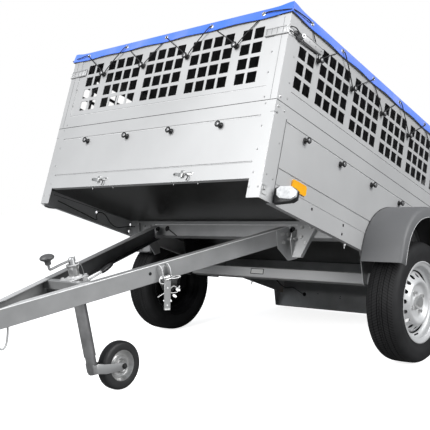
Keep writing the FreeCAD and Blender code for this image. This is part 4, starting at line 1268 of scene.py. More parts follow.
    def clamp(self) -> None:
        """Make the cast foot of the tube, with its lever behind it."""
        cast, grip = Maker(), Maker()
        cast.block((JOCKEY_AT - 40, -36, 50.3), (JOCKEY_AT + 48, 36, 56.3), 2.5, 2)
        cast.block((JOCKEY_AT - 54, -11, 14), (JOCKEY_AT - 26, 11, 50), 3, 2)
        cast.pin(Axis.Y, -19, 19, (JOCKEY_AT - 46, 24), 7, 6)
        for x, y in ((-32, 28), (-32, -28), (38, 27), (38, -27)):
            cast.pin(Axis.Z, 56, 62, (JOCKEY_AT + x, y), 6.5, 6)
        lever_a, lever_b = Vector((JOCKEY_AT - 48, 0, 22)), Vector((706, 0, 38))
        self.wire("clamp_lever", [lever_a, (lever_a + lever_b) / 2, lever_b], 5.0,
                  Paint.PALE_ZINC_AND_HIGHLIGHT, "drawbar")
        self.add(cast, "clamp_cast", Paint.PALE_ZINC_AND_HIGHLIGHT, "drawbar", "jockey_clamp")
        way = (Vector((648, 0, 55)) - lever_b).normalized()
        grip.lathe([(-6, 0.1), (-6, 6.5), (-2, 8.5), (18, 10.5), (42, 10), (56, 7.5), (61, 4),
                    (62, 0.1)], lever_b, way, 20)
        self.add(grip, "clamp_grip", Paint.BLACK_PLASTIC_AND_SHADE, "drawbar")
        self.wire("clamp_pin", ((816, 10, 104), (811, 12, 90), (808, 12, 70), (807, 12, 58)),
                  1.6, Paint.BRIGHT_ZINC, "drawbar")

    def build(self) -> None:
        """Make every piece of the jockey wheel."""
        self.wheel()
        self.axle()
        self.fork()
        self.tube()
        self.crank()
        self.clamp()


@dataclass
class Lamps(Assembly):
    """Front position lamps and the tail lamps."""

    @staticmethod
    def octagon(y0: float, y1: float, z0: float, z1: float, cut: float) -> list[Flat]:
        """Draw an eight-sided outline across the trailer.

        Args:
            y0: Inner edge.
            y1: Outer edge.
            z0: Lower edge.
            z1: Upper edge.
            cut: Size of the cut corners.

        Returns:
            The corners in order.
        """
        return [(y0 + cut, z0), (y1 - cut, z0), (y1, z0 + cut), (y1, z1 - cut),
                (y1 - cut, z1), (y0 + cut, z1), (y0, z1 - cut), (y0, z0 + cut)]

    def front(self) -> None:
        """Make the black housings and the white lenses."""
        black, white = Maker(), Maker()
        y = HALF
        side = [(y, 4), (y + 9, 3), (y + 82, 9), (y + 98, 19), (y + 98, 51),
                (y + 78, 66), (y + 20, 69), (y, 62)]
        black.sheet(Axis.X, -108, side, 26, 2.5)
        black.mirror_copy()
        self.add(black, "lamp_housings", Paint.BLACK_PLASTIC_AND_SHADE, node="front_lamps")
        glass = [(y + 16, 55), (y + 20, 31), (y + 36, 19), (y + 87, 14), (y + 106, 24),
                 (y + 106, 47), (y + 79, 65), (y + 29, 65)]
        white.sheet(Axis.X, -84, glass, 13, 3, 3)
        white.mirror_copy()
        self.add(white, "lamp_lenses", Paint.LAMP_WHITE)

    def tail(self) -> None:
        """Make the tail lamps' bases with red and amber fields."""
        x = -LENGTH + 40
        for name, paint, node, inner, outer, low, high, cut, at, thick, rounding in (
                ("tail_bases", Paint.BLACK_PLASTIC_AND_SHADE, "tail_lamps", 235, 15, -88, -4, 12, x,
                 -14, (2, 2)),
                ("tail_reds", Paint.LAMP_RED, "", 231, 96, -84, -8, 9, x - 12, -24, (3, 3)),
                ("tail_ambers", Paint.LAMP_AMBER, "", 94, 19, -84, -8, 9, x - 12, -24,
                 (3, 3))):
            shape = Maker()
            shape.sheet(Axis.X, at, self.octagon(HALF - inner, HALF - outer, low, high, cut),
                        thick, *rounding)
            shape.mirror_copy()
            self.add(shape, name, paint, node=node)

    def build(self) -> None:
        """Make all lamps."""
        self.front()
        self.tail()


@dataclass
class Fasteners(Assembly):
    """Rivets, bolts, washers and the small plates on the body and the drawbar."""

    front_rivets: tuple[Flat, ...] = ((608, 401), (619, 373), (620, 282), (620, 189),
                                      (621, 98), (613, 42), (655, 41), (604, 590), (604, 503))
    side_rivets: tuple[Flat, ...] = ((19, 402), (64, 413), (21, 362), (60, 359), (19, 338),
                                     (63, 231), (20, 94), (62, 89), (59, 585), (60, 476))
    rivet: float = 4.2

    def body(self) -> None:
        """Make the rivets of the posts and the panels."""
        shape = Maker()
        for wall in Wall:
            way = wall.outwards()
            for along, up in self.front_rivets if wall.is_end else self.side_rivets:
                for place in (along, -along if wall.is_end else LENGTH - along):
                    at = wall.point(place, up, 0)
                    shape.rod(at, at + way * 1.6, self.rivet, 10, self.rivet * 0.6)
        self.add(shape, "rivets", Paint.BRIGHT_ZINC)

    def washers(self) -> None:
        """Make the post bolts with their square washers."""
        shape = Maker()
        shape.block((-36, HALF, 18), (-6, HALF + 2.5, 54), 1)
        shape.pin(Axis.Y, HALF + 2, HALF + 9, (-20, 40), 7, 6)
        for x, z, r in ((-19, 403, 5.6), (-21, 364, 5.6), (-59, 360, 4.4)):
            shape.lathe([(0, r), (r * 0.4, r * 0.9), (r * 0.7, r * 0.6), (r * 0.8, 0.1)],
                        (x, HALF, z), Axis.Y.value, 14)
        shape.mirror_copy()
        self.add(shape, "post_bolts", Paint.BRIGHT_ZINC)

    def brackets(self) -> None:
        """Make the hexagon bolts of the hinge brackets and the pivot nuts."""
        shape, bar = Maker(), Maker()
        x = PIVOT[0] - 12
        for y, z in ((478, 46), (526, 46), (482, 4), (510, -22)):
            shape.pin(Axis.X, x, x + 7, (y, z), 8, 6)
        shape.mirror_copy()
        self.add(shape, "bracket_bolts", Paint.BRIGHT_ZINC)
        slope = math.atan(BEAM_TAPER)
        way = Vector((math.sin(slope), math.cos(slope), 0))
        for u, z in ((4, 22), (32, 30), (30, -8), (0, 0)):
            at = Vector((u, beam_side(u), z)) + way * 5
            bar.rod(at, at + way * 7, 8.5, 6)
        bar.mirror_copy()
        self.add(bar, "tongue_bolts", Paint.BRIGHT_ZINC, "drawbar")

    def low_bolts(self) -> None:
        """Make the small bolts under the front wall's flange and along the sills."""
        shape = Maker()
        for y in (-314, -173, 203, 339):
            shape.pin(Axis.Z, 75, 71, (-15, y), 3.4, 6)
            shape.pin(Axis.Z, 71, 67, (-15, y), 2, 8)
        for x in (-640, -1240, -1700):
            for side in (-1, 1):
                spot = (x, side * (HALF - 14))
                shape.pin(Axis.Z, 2, -24, spot, 2.8, 8)
                shape.pin(Axis.Z, -6, -11, spot, 5.5, 6)
        self.add(shape, "low_bolts", Paint.ZINC_FRAME)

    def keepers(self) -> None:
        """Make the stamped keepers with their tabs, hooks and dark rivets."""
        shape, dark = Maker(), Maker()
        tab = ((0, 122), (3, 122), (3, 112), (13, 107), (13, 92), (10, 92), (10, 103),
               (0, 105))
        for side, hand in ((-1, "right"), (1, "left")):
            y = side * (0.39 * HALF)
            ears = ((y - 54, 104), (y - 48, 100), (y - 14, 99), (y + 14, 99), (y + 48, 100),
                    (y + 54, 104), (y + 54, 112), (y + 48, 115), (y + 16, 112),
                    (y - 16, 112), (y - 48, 115), (y - 54, 112))
            shape.sheet(Axis.X, 0, ears, 2, 0.6)
            shape.sheet(Axis.Y, y - 12, tab, 20, 0.6)
            shape.pin(Axis.X, 2, 9, (y + 22, 104), 5, 6)
            for u in (-47, 47):
                dark.pin(Axis.X, 1.8, 3.2, (y + u, 107), 3.4, 10)
            self.wire(f"keeper_hook_{hand}",
                      ((8, y + 18, 104), (11, y + 30, 100), (11, y + 40, 92), (9, y + 36, 82),
                       (6, y + 28, 78)), 2.2, Paint.SEAM_DARK_AND_SHADE)
        self.add(shape, "keepers_formed", Paint.BRIGHT_ZINC, node="latch_keepers")
        self.add(dark, "keeper_rivets", Paint.SEAM_DARK_AND_SHADE)

    def small_plates(self) -> None:
        """Make the blank type plate on the axle and the black disc of painted shade in the beam's
        hole.
        """
        plate, edge, ring = Maker(), Maker(), Maker()
        plate.block((-1028.5, -134, -79), (-1026.5, -54, -56), 0.7)
        self.add(plate, "type_plate", Paint.PLATE_BLANK)
        for low, high in (((-137, -82), (-51, -79)), ((-137, -56), (-51, -53)),
                          ((-137, -82), (-134, -53)), ((-54, -82), (-51, -53))):
            edge.block((-1028.5, *low), (-1025.8, *high), 0.4)
        self.add(edge, "type_plate_edge", Paint.SEAM_DARK_AND_SHADE)
        # Painted shade: a thin black disc in each beam's hole.
        spot, way = Vector((656, beam_side(656), 24)), Vector((0.29, 0.957, 0))
        ring.rod(spot - way * 0.3, spot + way * 0.3, 6.8, 20)
        ring.mirror_copy()
        self.add(ring, "hole_backs", Paint.BLACK_COAT_AND_SHADE, "drawbar")

    def build(self) -> None:
        """Make every fastener."""
        self.body()
        self.low_bolts()
        self.keepers()
        self.small_plates()
        self.washers()
        self.brackets()


@dataclass
class SheetMetal(Assembly):
    """Folded sheet parts with rounded bends, and the seams between them."""

    post: float = 607.0
    panel_edge: float = 638.0
    field: float = 606.0
    seam_up: float = 386.5
    guard_far: float = TRACK_HALF + 100.5
    beam_top: float = 53.3
    beam_low: float = -16.7
    shade_end: float = 880.0
    field_up: float = 447.0
    fold_up: float = 327.0

    def bends(self) -> None:
        """Round the bends of the frame and of the drawbar."""
        beams = self.rounded("drawbar_beams", self.paint("drawbar_beams"), 2.5)
        self.shade_channels(beams)
        self.rounded("axle_tube", Paint.ZINC_WALL, 6.0)
        for node, width in (("corner_posts", 1.6), ("crossmembers", 3.0)):
            self.rounded(node, self.paint(node), width)
        self.rounded("axle_arms", Paint.BLACK_COAT_AND_SHADE, 2.0)
        self.line_guards(self.rounded("mudguards", Paint.GREY_PLASTIC))
        brackets = self.rounded("axle_brackets", self.paint("axle_brackets"), 1.0)
        self.wear(brackets, Paint.EDGE_LIGHT, Paint.BLACK_COAT_AND_SHADE)
        # Painted light: the left bracket's front faces take a painted highlight and the right
        # bracket's faces take painted shade.
        turn = BODY.inverted().to_3x3()
        for face in brackets.data.polygons:
            ahead = (turn @ face.normal).normalized().x > 0.7
            face.material_index = int(ahead) if face.center.y > 0 else 2
        bar = self.rounded("cross_plate", self.paint("cross_plate"), 2.0)
        self.wear(bar, Paint.DULL_ZINC_AND_SHADE)
        # Painted shade on the plate's lower leg, below 43 mm.
        for face in bar.data.polygons:
            face.material_index = int((BAR.inverted() @ face.center).z < 43)
        self.dresser.dress(frame["nodes"]["jockey_leg"], Paint.ZINC_TUBE)

    def shade_channels(self, piece: bpy.types.Object) -> None:
        """Give the inner side of the open beams painted shade, lighter near the coupling, and
        painted highlights along their upper bend and on their top near the coupling.

        Args:
            piece: Both beams.
        """
        self.wear(piece, Paint.ZINC_SHADE, Paint.EDGE_LIGHT, Paint.DULL_ZINC_AND_SHADE, Paint.PALE_ZINC_AND_HIGHLIGHT)
        inner, edge, nose_shade, pale = 1, 2, 3, 4
        mesh = bmesh.new()
        mesh.from_mesh(piece.data)
        bmesh.ops.bisect_plane(mesh, geom=[*mesh.verts, *mesh.edges, *mesh.faces], dist=1e-6,
                               plane_co=BAR @ Vector((self.shade_end, 0, 0)),
                               plane_no=BAR.to_3x3() @ Vector((1, 0, 0)))
        mesh.to_mesh(piece.data)
        mesh.free()
        back = BAR.inverted()
        flange, web, bend = 2.9, 2.2, 2.6
        low, high = self.beam_low + flange, self.beam_top - flange
        for face in piece.data.polygons:
            at = back @ face.center
            deep = beam_side(at.x) - abs(at.y)
            # Painted shade on the inner web, lighter near the coupling; painted highlights on the
            # upper bend and on the top near the coupling.
            if low < at.z < high and deep > web:
                face.material_index = inner if at.x < self.shade_end else nose_shade
            elif at.z > self.beam_top - bend and deep < bend:
                face.material_index = edge
            elif at.z > self.beam_top - 0.1 and at.x > self.shade_end:
                face.material_index = pale

    @staticmethod
    def towards_axle(piece: bpy.types.Object) -> Iterable[tuple]:
        """Give each face of a piece with its middle, its normal and how it faces the axle.

        Args:
            piece: The piece.

        Yields:
            The face, its middle and normal in the body's frame, and one where it looks
            straight at the axle or minus one where it looks straight away.
        """
        back = BODY.inverted()
        turn = back.to_3x3()
        for face in piece.data.polygons:
            at, normal = back @ face.center, (turn @ face.normal).normalized()
            inward = Vector((AXLE[0] - at.x, 0, AXLE[1] - at.z)).normalized()
            yield face, at, normal, normal.dot(inward)

    def line_guards(self, piece: bpy.types.Object) -> None:
        """Put painted shade, in black, on the guards' inner side and a painted highlight on the
        cut edge of their skirt, then lay a painted highlight wire along each lip and a painted
        shadow wire where each guard meets the wall.

        Args:
            piece: Both mudguards.
        """
        self.wear(piece, Paint.BLACK_PLASTIC_AND_SHADE, Paint.PALE_ZINC_AND_HIGHLIGHT)
        black, pale = 1, 2
        # Faces at the skirt's edge that look at the axle take the painted highlight; the inner
        # side takes painted shade.
        for face, at, normal, facing in self.towards_axle(piece):
            side, far = math.copysign(1, at.y), abs(at.y)
            if facing > 0.5 and far > self.guard_far - 2.9:
                face.material_index = pale
            elif far > HALF + 3 and (facing > 0.4 or normal.y * side < -0.5):
                face.material_index = black
        # The lip wire is a painted highlight along the guard's edge, and the seam wire is a
        # painted contact shadow where the guard meets the wall.
        for side, name in HANDS:
            for label, far, facing, out, radius, paint in (
                    ("lip", self.guard_far, 1, -0.4, 1.6, Paint.PALE_ZINC_AND_HIGHLIGHT),
                    ("seam", HALF, -1, 2.0, 2.4, Paint.SEAM_DARK_AND_SHADE)):
                route = [(p.x, side * (far + out), p.z)
                         for p in self.arch(piece, side, far, facing)]
                self.wire(f"guard_{label}_{name}", route, radius, paint)

    def arch(self, piece: bpy.types.Object, side: int, far: float,
             way: int) -> list[Vector]:
        """Find the corners of a guard's arch at one distance from the middle.

        Args:
            piece: Both mudguards.
            side: One for the left guard and minus one for the right.
            far: The distance from the middle plane.
            way: One for faces towards the axle and minus one for faces away from it.

        Returns:
            The corners from the front foot to the rear one.
        """
        back = BODY.inverted()
        found: dict[int, Vector] = {}
        for face, _, _, facing in self.towards_axle(piece):
            if facing * way > 0.5:
                for index in face.vertices:
                    corner = back @ piece.data.vertices[index].co
                    if abs(corner.y * side - far) < 0.3:
                        found[index] = corner
        return sorted(found.values(),
                      key=lambda p: math.atan2(AXLE[0] - p.x, p.z - AXLE[1]))

    @staticmethod
    def paint(node: str) -> Paint:
        """Find the finish that the record gives a node."""
        entry = next(e for e in frame["record"]["subparts"] if e["node"] == node)
        return next(p for p in Paint if p.value.label == entry["material_slot"])

    def beam_edges(self) -> None:
        """Lay a near-white wire along the beams' upper bend as a painted highlight."""
        tip = BEAM_FROM + (BEAM_WIDE - BEAM_MEET) / BEAM_TAPER
        for side, name in HANDS:
            route = [(x, side * (beam_side(x) - 1.2), self.beam_top - 1.2)
                     for x in (-4, 400, 800, tip - 60, tip, tip + 60, 1380)]
            self.wire(f"beam_edge_{name}", route, 2.1, Paint.EDGE_LIGHT, "drawbar")

    @staticmethod
    def strip(shape: Maker, wall: Wall, a: Flat, b: Flat, thick: float = 0.5) -> None:
        """Lay a thin strip on a wall between two corners.

        Args:
            shape: The mesh in progress.
            wall: The wall.
            a: Its lower corner, along the wall and up.
            b: Its upper corner, along the wall and up.
            thick: How far it stands out.
        """
        corners = [sorted(pair) for pair in zip(wall.point(*a, 0), wall.point(*b, thick))]
        shape.block(*zip(*corners))

    def seams(self) -> None:
        """Draw the dark gaps between panels, posts and walls, painted shade along the pressed
        folds, steps and post edges, and painted highlights under the folds and on the
        crossmember.
        """
        dark, light, soft, gate = Maker(), Maker(), Maker(), Maker()
        for wall in Wall:
            first, last = (-HALF, HALF) if wall.is_end else (0.0, LENGTH)
            inset = HALF - self.field if wall.is_end else 80.0
            fold = gate if wall is Wall.REAR else light
            # Each wall: the dark gap above the lower panel, then painted shade and a painted
            # highlight along the pressed field's fold, then a painted highlight along the lower
            # fold.
            for shape, gap, up, under, over in (
                    (dark, 1, self.seam_up, 1.2, 1.2), (soft, inset, self.field_up, 0.9, 0.9),
                    (light, inset, self.field_up, 2.4, -0.9),
                    (fold, inset, self.fold_up, 5.0, -3.4)):
                self.strip(shape, wall, (first + gap, up - under), (last - gap, up + over))
        # Painted shade lines along the panels' edges and the posts' step, and dark gaps by the
        # rear posts.
        for wall in (Wall.FRONT, Wall.REAR):
            for side in (-1, 1):
                y = side * self.panel_edge
                self.strip(soft, wall, (y - 0.8, self.seam_up), (y + 0.8, 735))
                y = side * self.post
                if wall is Wall.REAR:
                    self.strip(dark, wall, (y - 0.8, 36), (y + 0.8, 336), 2.6)
                self.strip(soft, wall, (side * 650, 335.4), (side * (HALF - 0.5), 336.8))
        # Painted shade along the side posts' edges and along the side field's fold.
        for wall in (Wall.LEFT, Wall.RIGHT):
            for x in (80.0, LENGTH - 80.0):
                self.strip(soft, wall, (x - 0.7, 8), (x + 0.7, 336), 2.4)
            self.strip(dark, wall, (80, self.field_up - 1.2), (LENGTH - 80, self.field_up + 1.2),
                       0.6)
            self.strip(dark, wall, (61, 409), (64, 417))
            self.strip(dark, wall, (0.5, 335.4), (16, 337))
            self.strip(dark, wall, (15, 334), (20, 340), 1.2)
        # A painted highlight along the sill's top fold, then a painted highlight and a painted
        # shade line on the crossmember.
        soft.rod((-44, -640, 58), (-604, -640, 79), 1.8, 8)
        light.block((-568, -585, 56.5), (-565, 585, 59.5), 0.5)
        dark.block((-566, -585, 75.5), (-564.5, 585, 78))
        self.add(dark, "seam_gaps_and_painted_shade", Paint.SEAM_DARK_AND_SHADE)
        self.add(soft, "step_painted_shade", Paint.SOFT_SEAMS_AND_SHADE)
        self.add(light, "fold_painted_highlights", Paint.EDGE_LIGHT)
        self.add(gate, "gate_fold_painted_highlight", Paint.EDGE_LIGHT, "tailgate")

    def build(self) -> None:
        """Make the sheet metal's finer forms."""
        self.bends()
        self.beam_edges()
        self.seams()


@dataclass
class TippingCatch(Assembly):
    """The catch on each beam: fork, bolt, ring handle, strap and spring clips."""

    at: float = 602.0
    lean: float = 12.0
    cheek: tuple[Flat, ...] = ((0, 46), (8, 50), (20, 45), (27, 33), (29, 16), (25, 0),
                               (17, -8))

    def place(self) -> Matrix:
        """Give the catch's own frame: X along the beam, Y outwards."""
        turn = Matrix.Rotation(-math.atan(BEAM_TAPER), 4, "Z")
        return BAR @ Matrix.Translation((self.at, beam_side(self.at), 0)) @ turn

    def metal(self) -> None:
        """Make the plates, the bolts, the strap and its rivets."""
        fork, bolt, bright = Maker(), Maker(), Maker()
        fork.sheet(Axis.Y, 0, ((-22, -10), (22, -10), (24, 42), (-24, 42)), 2.5, 0.5)
        outline = [(2 + u, v) for u, v in (*self.cheek, (0, -8))]
        for x in (-20, 15):
            fork.sheet(Axis.X, x, outline, 3.5, 0.5)
            bolt.pin(Axis.X, x - 2, x + 5.5, (14, 34), 3.6, 6)
        bolt.pin(Axis.X, -24, 26, (20, -2), 4, 10)
        bolt.pin(Axis.X, -13, 13, (20, -3), 9, 10, 9)
        bolt.block((-17, 15, -15), (15, 29, -8), 2, 2)
        bright.block((-11, 28, -130), (11, 33, -125), 0.8)
        for z in (-44, -112):
            bright.pin(Axis.Y, 28, 30.5, (0, z), 3.6, 12, 2.6)
        hang = Matrix.Translation((0, 0, 8)) @ Matrix.Rotation(
            -math.radians(self.lean), 4, "Y") @ Matrix.Translation((-5, 0, -8))
        bright.turn(hang)
        plates = set(fork.mesh.verts)
        fork.block((-14, 25, -130), (14, 28, -14), 0.8)
        fork.turn(hang, plates)
        self.both(bolt, "catch_bolts", Paint.BRIGHT_ZINC)
        self.both(bright, "catch_rivets", Paint.EDGE_LIGHT)
        self.both(fork, "catch_formed", Paint.ZINC_FRAME, "tipping_catches")

    def both(self, shape: Maker, name: str, paint: Paint, node: str = "") -> None:
        """Place the mesh on the left beam and a mirrored one on the right.

        Args:
            shape: The mesh in the catch's own frame.
            name: The piece's name.
            paint: Its finish.
            node: The CAD node whose place it takes, if any.
        """
        shape.turn(BAR.inverted() @ self.place())
        shape.mirror_copy()
        self.add(shape, name, paint, "drawbar", node)

    def wires(self) -> None:
        """Bend the ring handle and the spring clips from wire."""
        hang = Matrix.Rotation(-math.radians(self.lean), 4, "Y")
        loop = [(-17 - 19 * (1 - math.cos(a)), 30 + 18 * math.sin(a), -10)
                for a in [math.tau * k / 12 for k in range(13)]]
        hook = ((22, 24, 8), (32, 27, 2), (36, 27, -12), (28, 24, -22), (16, 22, -24))
        clip = ((38, -78), (14, -66), (-14, -52), (-26, -40), (-36, -38), (-46, -46),
                (-52, -48), (-60, -36), (-56, -50), (-50, -64), (-32, -65), (-14, -64),
                (10, -66))
        # The two rim wires along the cheeks' edges are painted highlights.
        rims = [[(x, 2 + u, v) for u, v in self.cheek] for x in (-18, 17)]
        for side, matrix in (("left", self.place()), ("right", RIGHT @ self.place())):
            for name, route, radius in (
                    ("ring", loop, 2.3), ("hook", hook, 2.4),
                    ("clip", [hang @ Axis.Y.spot(24, p) for p in clip], 1.6),
                    ("rim_a", rims[0], 1.5), ("rim_b", rims[1], 1.5)):
                self.wire(f"catch_{name}_{side}", route, radius, Paint.EDGE_LIGHT, "drawbar",
                          matrix)

    def build(self) -> None:
        """Make both catches."""
        self.metal()
        self.wires()


@dataclass
class Latches(Assembly):
    """Corner latches of the mesh panels with their straps, levers and springs."""

    low: float = 661.0

    def one(self, shape: Maker, soft: Maker, dark: Maker, x: float, s: int) -> None:
        """Add the latch of one corner, on the left side.

        Args:
            shape: The plates in progress.
            soft: The grooves and the painted shadow lines along the rails, in progress.
            dark: The dark block and the lower rod, painted shade under the lever, in progress.
            x: The corner's place along the body.
            s: Which way is outwards there.
        """
        low, y = self.low, HALF

        def plate(mesh: Maker, at: float, outline: Iterable[Flat], *rest: float) -> None:
            """Add a plate beside the wall, its outline measured from the corner."""
            mesh.sheet(Axis.Y, at, [(x - s * u, low + v) for u, v in outline], *rest)

        strap = ((y - 113, low), (y - 4, low - 3), (y + 3, low - 3), (y + 3, low + 29),
                 (y - 4, low + 31), (y - 113, low + 31))
        shape.sheet(Axis.X, x, strap, s * 3, 0.8)
        # The soft rods just off each rail are painted shadow lines.
        for v0, v1, over in ((low + 1, low - 2, -2.6), (low + 30, low + 29, 2.6)):
            shape.rod((x + s * 4, y - 112, v0), (x + s * 4, y + 1, v1), 2.4, 10)
            soft.rod((x + s * 1.5, y - 112, v0 + over), (x + s * 1.5, y, v1 + over), 1.3, 6)
        for a in (104, 80, 54, 26):
            soft.pin(Axis.Z, low + 3, low + 27, (x + s * 3, y - a), 1.3, 6)
        shape.pin(Axis.Z, low - 2, low + 30, (x + s * 5, y - 5), 4, 12)
        plate(shape, y, ((2, -8), (44, -1), (96, 6), (96, 24), (44, 28), (2, 26)), 2.5, 0.6)
        plate(shape, y + 4, ((88, 12), (104, 9), (222, 13), (236, 20), (236, 38), (226, 42),
                             (104, 42), (88, 34)), 3, 1)
        soft.rod((x - s * 96, y + 7, low + 38), (x - s * 228, y + 7, low + 38.5), 1.3, 6)
        for u in (132, 176, 216):
            soft.pin(Axis.Y, y + 6.5, y + 8, (x - s * u, low + 25), 2.4, 8)
        # Painted shade: the dark lower rod lies where the lever casts its shadow.
        dark.rod((x - s * 50, y + 4, low - 1), (x - s * 205, y + 4, low + 9), 3.6, 8)
        plate(dark, y + 2.5, ((30, 4), (52, 0), (86, 8), (86, 26), (52, 30), (30, 22)), 6,
              1.5, 2)
        shape.lathe([(-3, 4), (-3, 9), (3, 9), (3, 4)], (x - s * 84, y + 10, low + 24),
                    (0.5, 1, 0), 14, closed=True)

    def spring(self, name: str, x: float, s: int, mirror: Matrix) -> None:
        """Bend the dark spring wire that pulls the latch tight.

        Args:
            name: The piece's name.
            x: The corner's place along the body.
            s: Which way is outwards there.
            mirror: The matrix for the trailer's side.
        """
        path = ((2, 4, 24), (14, 12, 28), (34, 14, 27), (52, 12, 20), (54, 12, 14),
                (38, 14, 7), (18, 12, 5), (4, 4, 8))
        route = [mirror @ Vector((x - s * u, HALF + out, self.low + v)) for u, out, v in path]
        self.wire(name, route, 2.2, Paint.SEAM_DARK_AND_SHADE)

    def build(self) -> None:
        """Make the latches of the four corners."""
        shape, soft, dark = Maker(), Maker(), Maker()
        for x, s, end in ((0, 1, "front"), (-LENGTH, -1, "rear")):
            self.one(shape, soft, dark, x, s)
            for side, mirror in (("left", STILL), ("right", RIGHT)):
                self.spring(f"latch_spring_{end}_{side}", x, s, mirror)
        for mesh, name, paint, node in (
                (soft, "latch_grooves_and_shadow_lines", Paint.SOFT_SEAMS_AND_SHADE, ""),
                (dark, "latch_rods_and_shade", Paint.KNOB_PLASTIC, ""),
                (shape, "latches_formed", Paint.ZINC_WALL, "corner_latches")):
            mesh.mirror_copy()
            self.add(mesh, name, paint, node=node)


@dataclass
class Wiring(Assembly):
    """The lamp cable clipped under the body, its grommets and the small holes' rims."""

    cable_radius: float = 2.6

    def cable(self) -> None:
        """Lay the fixed lamp cable in its three visible runs."""
        runs = {
            "sill": ((-74, -640, 36), (-190, -640, 27), (-300, -639, 15), (-338, -638, 12),
                     (-318, -638, 34), (-334, -638, 58), (-362, -638, 61), (-388, -638, 50),
                     (-421, -638, 24), (-452, -637, 14), (-485, -636, 15), (-540, -630, 40),
                     (-562, -600, 44)),
            "tail": ((-1880, -634, 74), (-1940, -632, 58), (-1980, -613, 28),
                     (-2000, -579, 22), (-2015, -549, 36), (-2022, -510, 13),
                     (-2024, -470, -4)),
            "grommet": ((-566, -357, 36), (-562, -346, 34), (-561, -326, 24),
                        (-561, -300, 10), (-564, -276, -2))}
        for name, run in runs.items():
            self.wire(f"cable_{name}", run, self.cable_radius, Paint.BLACK_PLASTIC_AND_SHADE)

    def eye(self) -> None:
        """Bend the fixed wire eye under the coupling's end of the beams."""
        run = ((1190, 36, 0), (1193, 40, -24), (1205, 40, -62), (1216, 40, -84),
               (1230, 40, -92), (1243, 40, -84), (1252, 40, -60), (1258, 40, -24),
               (1260, 36, 0))
        self.wire("drawbar_eye", run, 3.8, Paint.PALE_ZINC_AND_HIGHLIGHT, "drawbar")

    def grommets(self) -> None:
        """Make the rubber grommets of the crossmember and the boot on the tail board."""
        shape = Maker()
        ring = [(-1, 4), (-1, 13), (2.5, 14.5), (4.5, 12), (4.5, 6), (2, 4)]
        shape.lathe(ring, (-568, 426.5, 36), Axis.X.value, 20, closed=True)
        shape.mirror_copy()
        shape.lathe(ring, (-568, -357, 36), Axis.X.value, 20, closed=True)
        shape.pin(Axis.X, -569, -566, (-357, 36), 12, 16)
        shape.lathe([(-2, 0.1), (-2, 13), (2, 13), (6, 9), (14, 6), (16, 0.1)],
                    (-2036.5, -462, -5), Axis.X.value, 16)
        for y, z in ((-357, 6), (-185, 0), (-185, -13), (185, 0), (357, 6)):
            shape.pin(Axis.X, -2038.5, -2037, (y, z), 3.5, 10)
        self.add(shape, "grommets", Paint.BLACK_PLASTIC_AND_SHADE)

    def build(self) -> None:
        """Make the fixed wiring."""
        self.cable()
        self.eye()
        self.grommets()


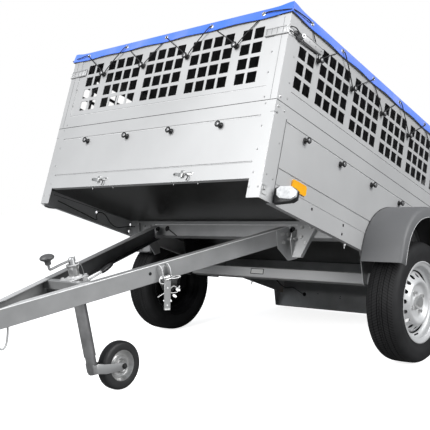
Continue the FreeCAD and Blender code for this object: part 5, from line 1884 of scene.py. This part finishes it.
@dataclass
class Studio:
    """Floor, light and camera."""

    dresser: Dresser
    eye: tuple[float, float, float] = (2.662, 2.244, 0.795)
    turn: tuple[float, float, float] = (88.228, 2.021, 131.318)
    focal: float = 59.53
    fill: float = 0.3
    bounce: float = 0.22
    glow: float = 0.85
    floor_half: float = 30000.0

    @staticmethod
    def place(name: str, data: bpy.types.ID) -> bpy.types.Object:
        """Put a mesh, a lamp or a camera in the scene."""
        thing = bpy.data.objects.new(name, data)
        bpy.context.scene.collection.objects.link(thing)
        return thing

    def floor(self) -> None:
        """Lay a wide pale floor."""
        shape, wide = Maker(), self.floor_half
        shape.block((-wide, -wide, -20), (wide, wide, -1.5))
        shape.turn(Matrix.Scale(MM, 4))
        data = bpy.data.meshes.new("floor")
        shape.mesh.to_mesh(data)
        shape.mesh.free()
        floor = self.place("floor", data)
        floor.data.materials.append(self.floor_finish())

    @staticmethod
    def split(tree: ShaderTree, rest: object, seen: object, leave: str) -> None:
        """Show the camera one shader and give every other ray another.

        Args:
            tree: The shader tree.
            rest: What the other rays get.
            seen: What the camera sees.
            leave: The name of the tree's last node.
        """
        ray = tree.add("LightPath", {}).outputs["Is Camera Ray"]
        mixed = tree.add("MixShader", {"Fac": ray, 1: rest, 2: seen}).outputs["Shader"]
        tree.fill(tree.nodes[leave], {"Surface": mixed})

    def floor_finish(self) -> bpy.types.Material:
        """Make the pale floor, which glows a little to the camera and sends little back.

        Returns:
            The floor's material.
        """
        material = Paint.FLOOR_PALE.value.make(self.dresser.effects)
        tree = ShaderTree(material.node_tree)
        glow = tree.fill(tree.nodes["Principled BSDF"], {
            "Specular IOR Level": 0.0, "Emission Color": (1, 1, 1, 1),
            "Emission Strength": self.glow})
        dim = tree.add("BsdfDiffuse", {"Color": (self.bounce, self.bounce, self.bounce, 1)})
        self.split(tree, dim.outputs["BSDF"], glow.outputs["BSDF"], "Material Output")
        return material

    def sky(self) -> None:
        """Make a surround that is white to the camera and a dim fill for the rest."""
        world = bpy.data.worlds.new("studio")
        world.use_nodes = True
        tree = ShaderTree(world.node_tree)
        fill = tree.fill(tree.nodes["Background"], {"Color": (0.9, 0.95, 1.0, 1),
                                                    "Strength": self.fill})
        white = tree.add("Background", {"Color": (1, 1, 1, 1), "Strength": 1.0})
        self.split(tree, fill.outputs["Background"], white.outputs["Background"],
                   "World Output")
        bpy.context.scene.world = world

    def lamp(self, name: str, at: Point, aim: Point, size: float, power: float) -> None:
        """Hang one soft lamp.

        Args:
            name: Its name.
            at: Its place.
            aim: The point it shines at.
            size: Its width in metres.
            power: Its power in watts.
        """
        light = bpy.data.lights.new(name, "AREA")
        light.energy, light.size = power, size
        lamp = self.place(name, light)
        lamp.location = at
        lamp.rotation_euler = (Vector(aim) - Vector(at)).to_track_quat("-Z", "Y").to_euler()

    def camera(self) -> None:
        """Stand the camera where the photograph was taken."""
        data = bpy.data.cameras.new("camera")
        data.lens, data.sensor_width = self.focal, 36
        camera = self.place("camera", data)
        camera.location = self.eye
        camera.rotation_euler = [math.radians(a) for a in self.turn]
        bpy.context.scene.camera = camera

    def build(self) -> None:
        """Set up the studio."""
        self.floor()
        self.sky()
        self.lamp("key", (6.2, -0.4, 4.2), (0.5, 0, 1.0), 3.6, 500)
        self.lamp("side", (-0.6, 6.0, 3.6), (0, 0, 0.9), 3.6, 370)
        self.camera()
        bpy.context.scene.view_settings.view_transform = "Standard"


def main() -> None:
    """Dress the whole trailer."""
    logging.basicConfig(level=logging.INFO)
    dresser = Dresser()
    dresser.dress_frame()
    cover = Cover(dresser)
    cover.build()
    Hooks(dresser, cover).build()
    for assembly in (RoadWheels, JockeyWheel, Lamps, Fasteners, SheetMetal, TippingCatch,
                     Latches, Wiring, Studio):
        assembly(dresser).build()


if __name__ == "__main__":
    main()
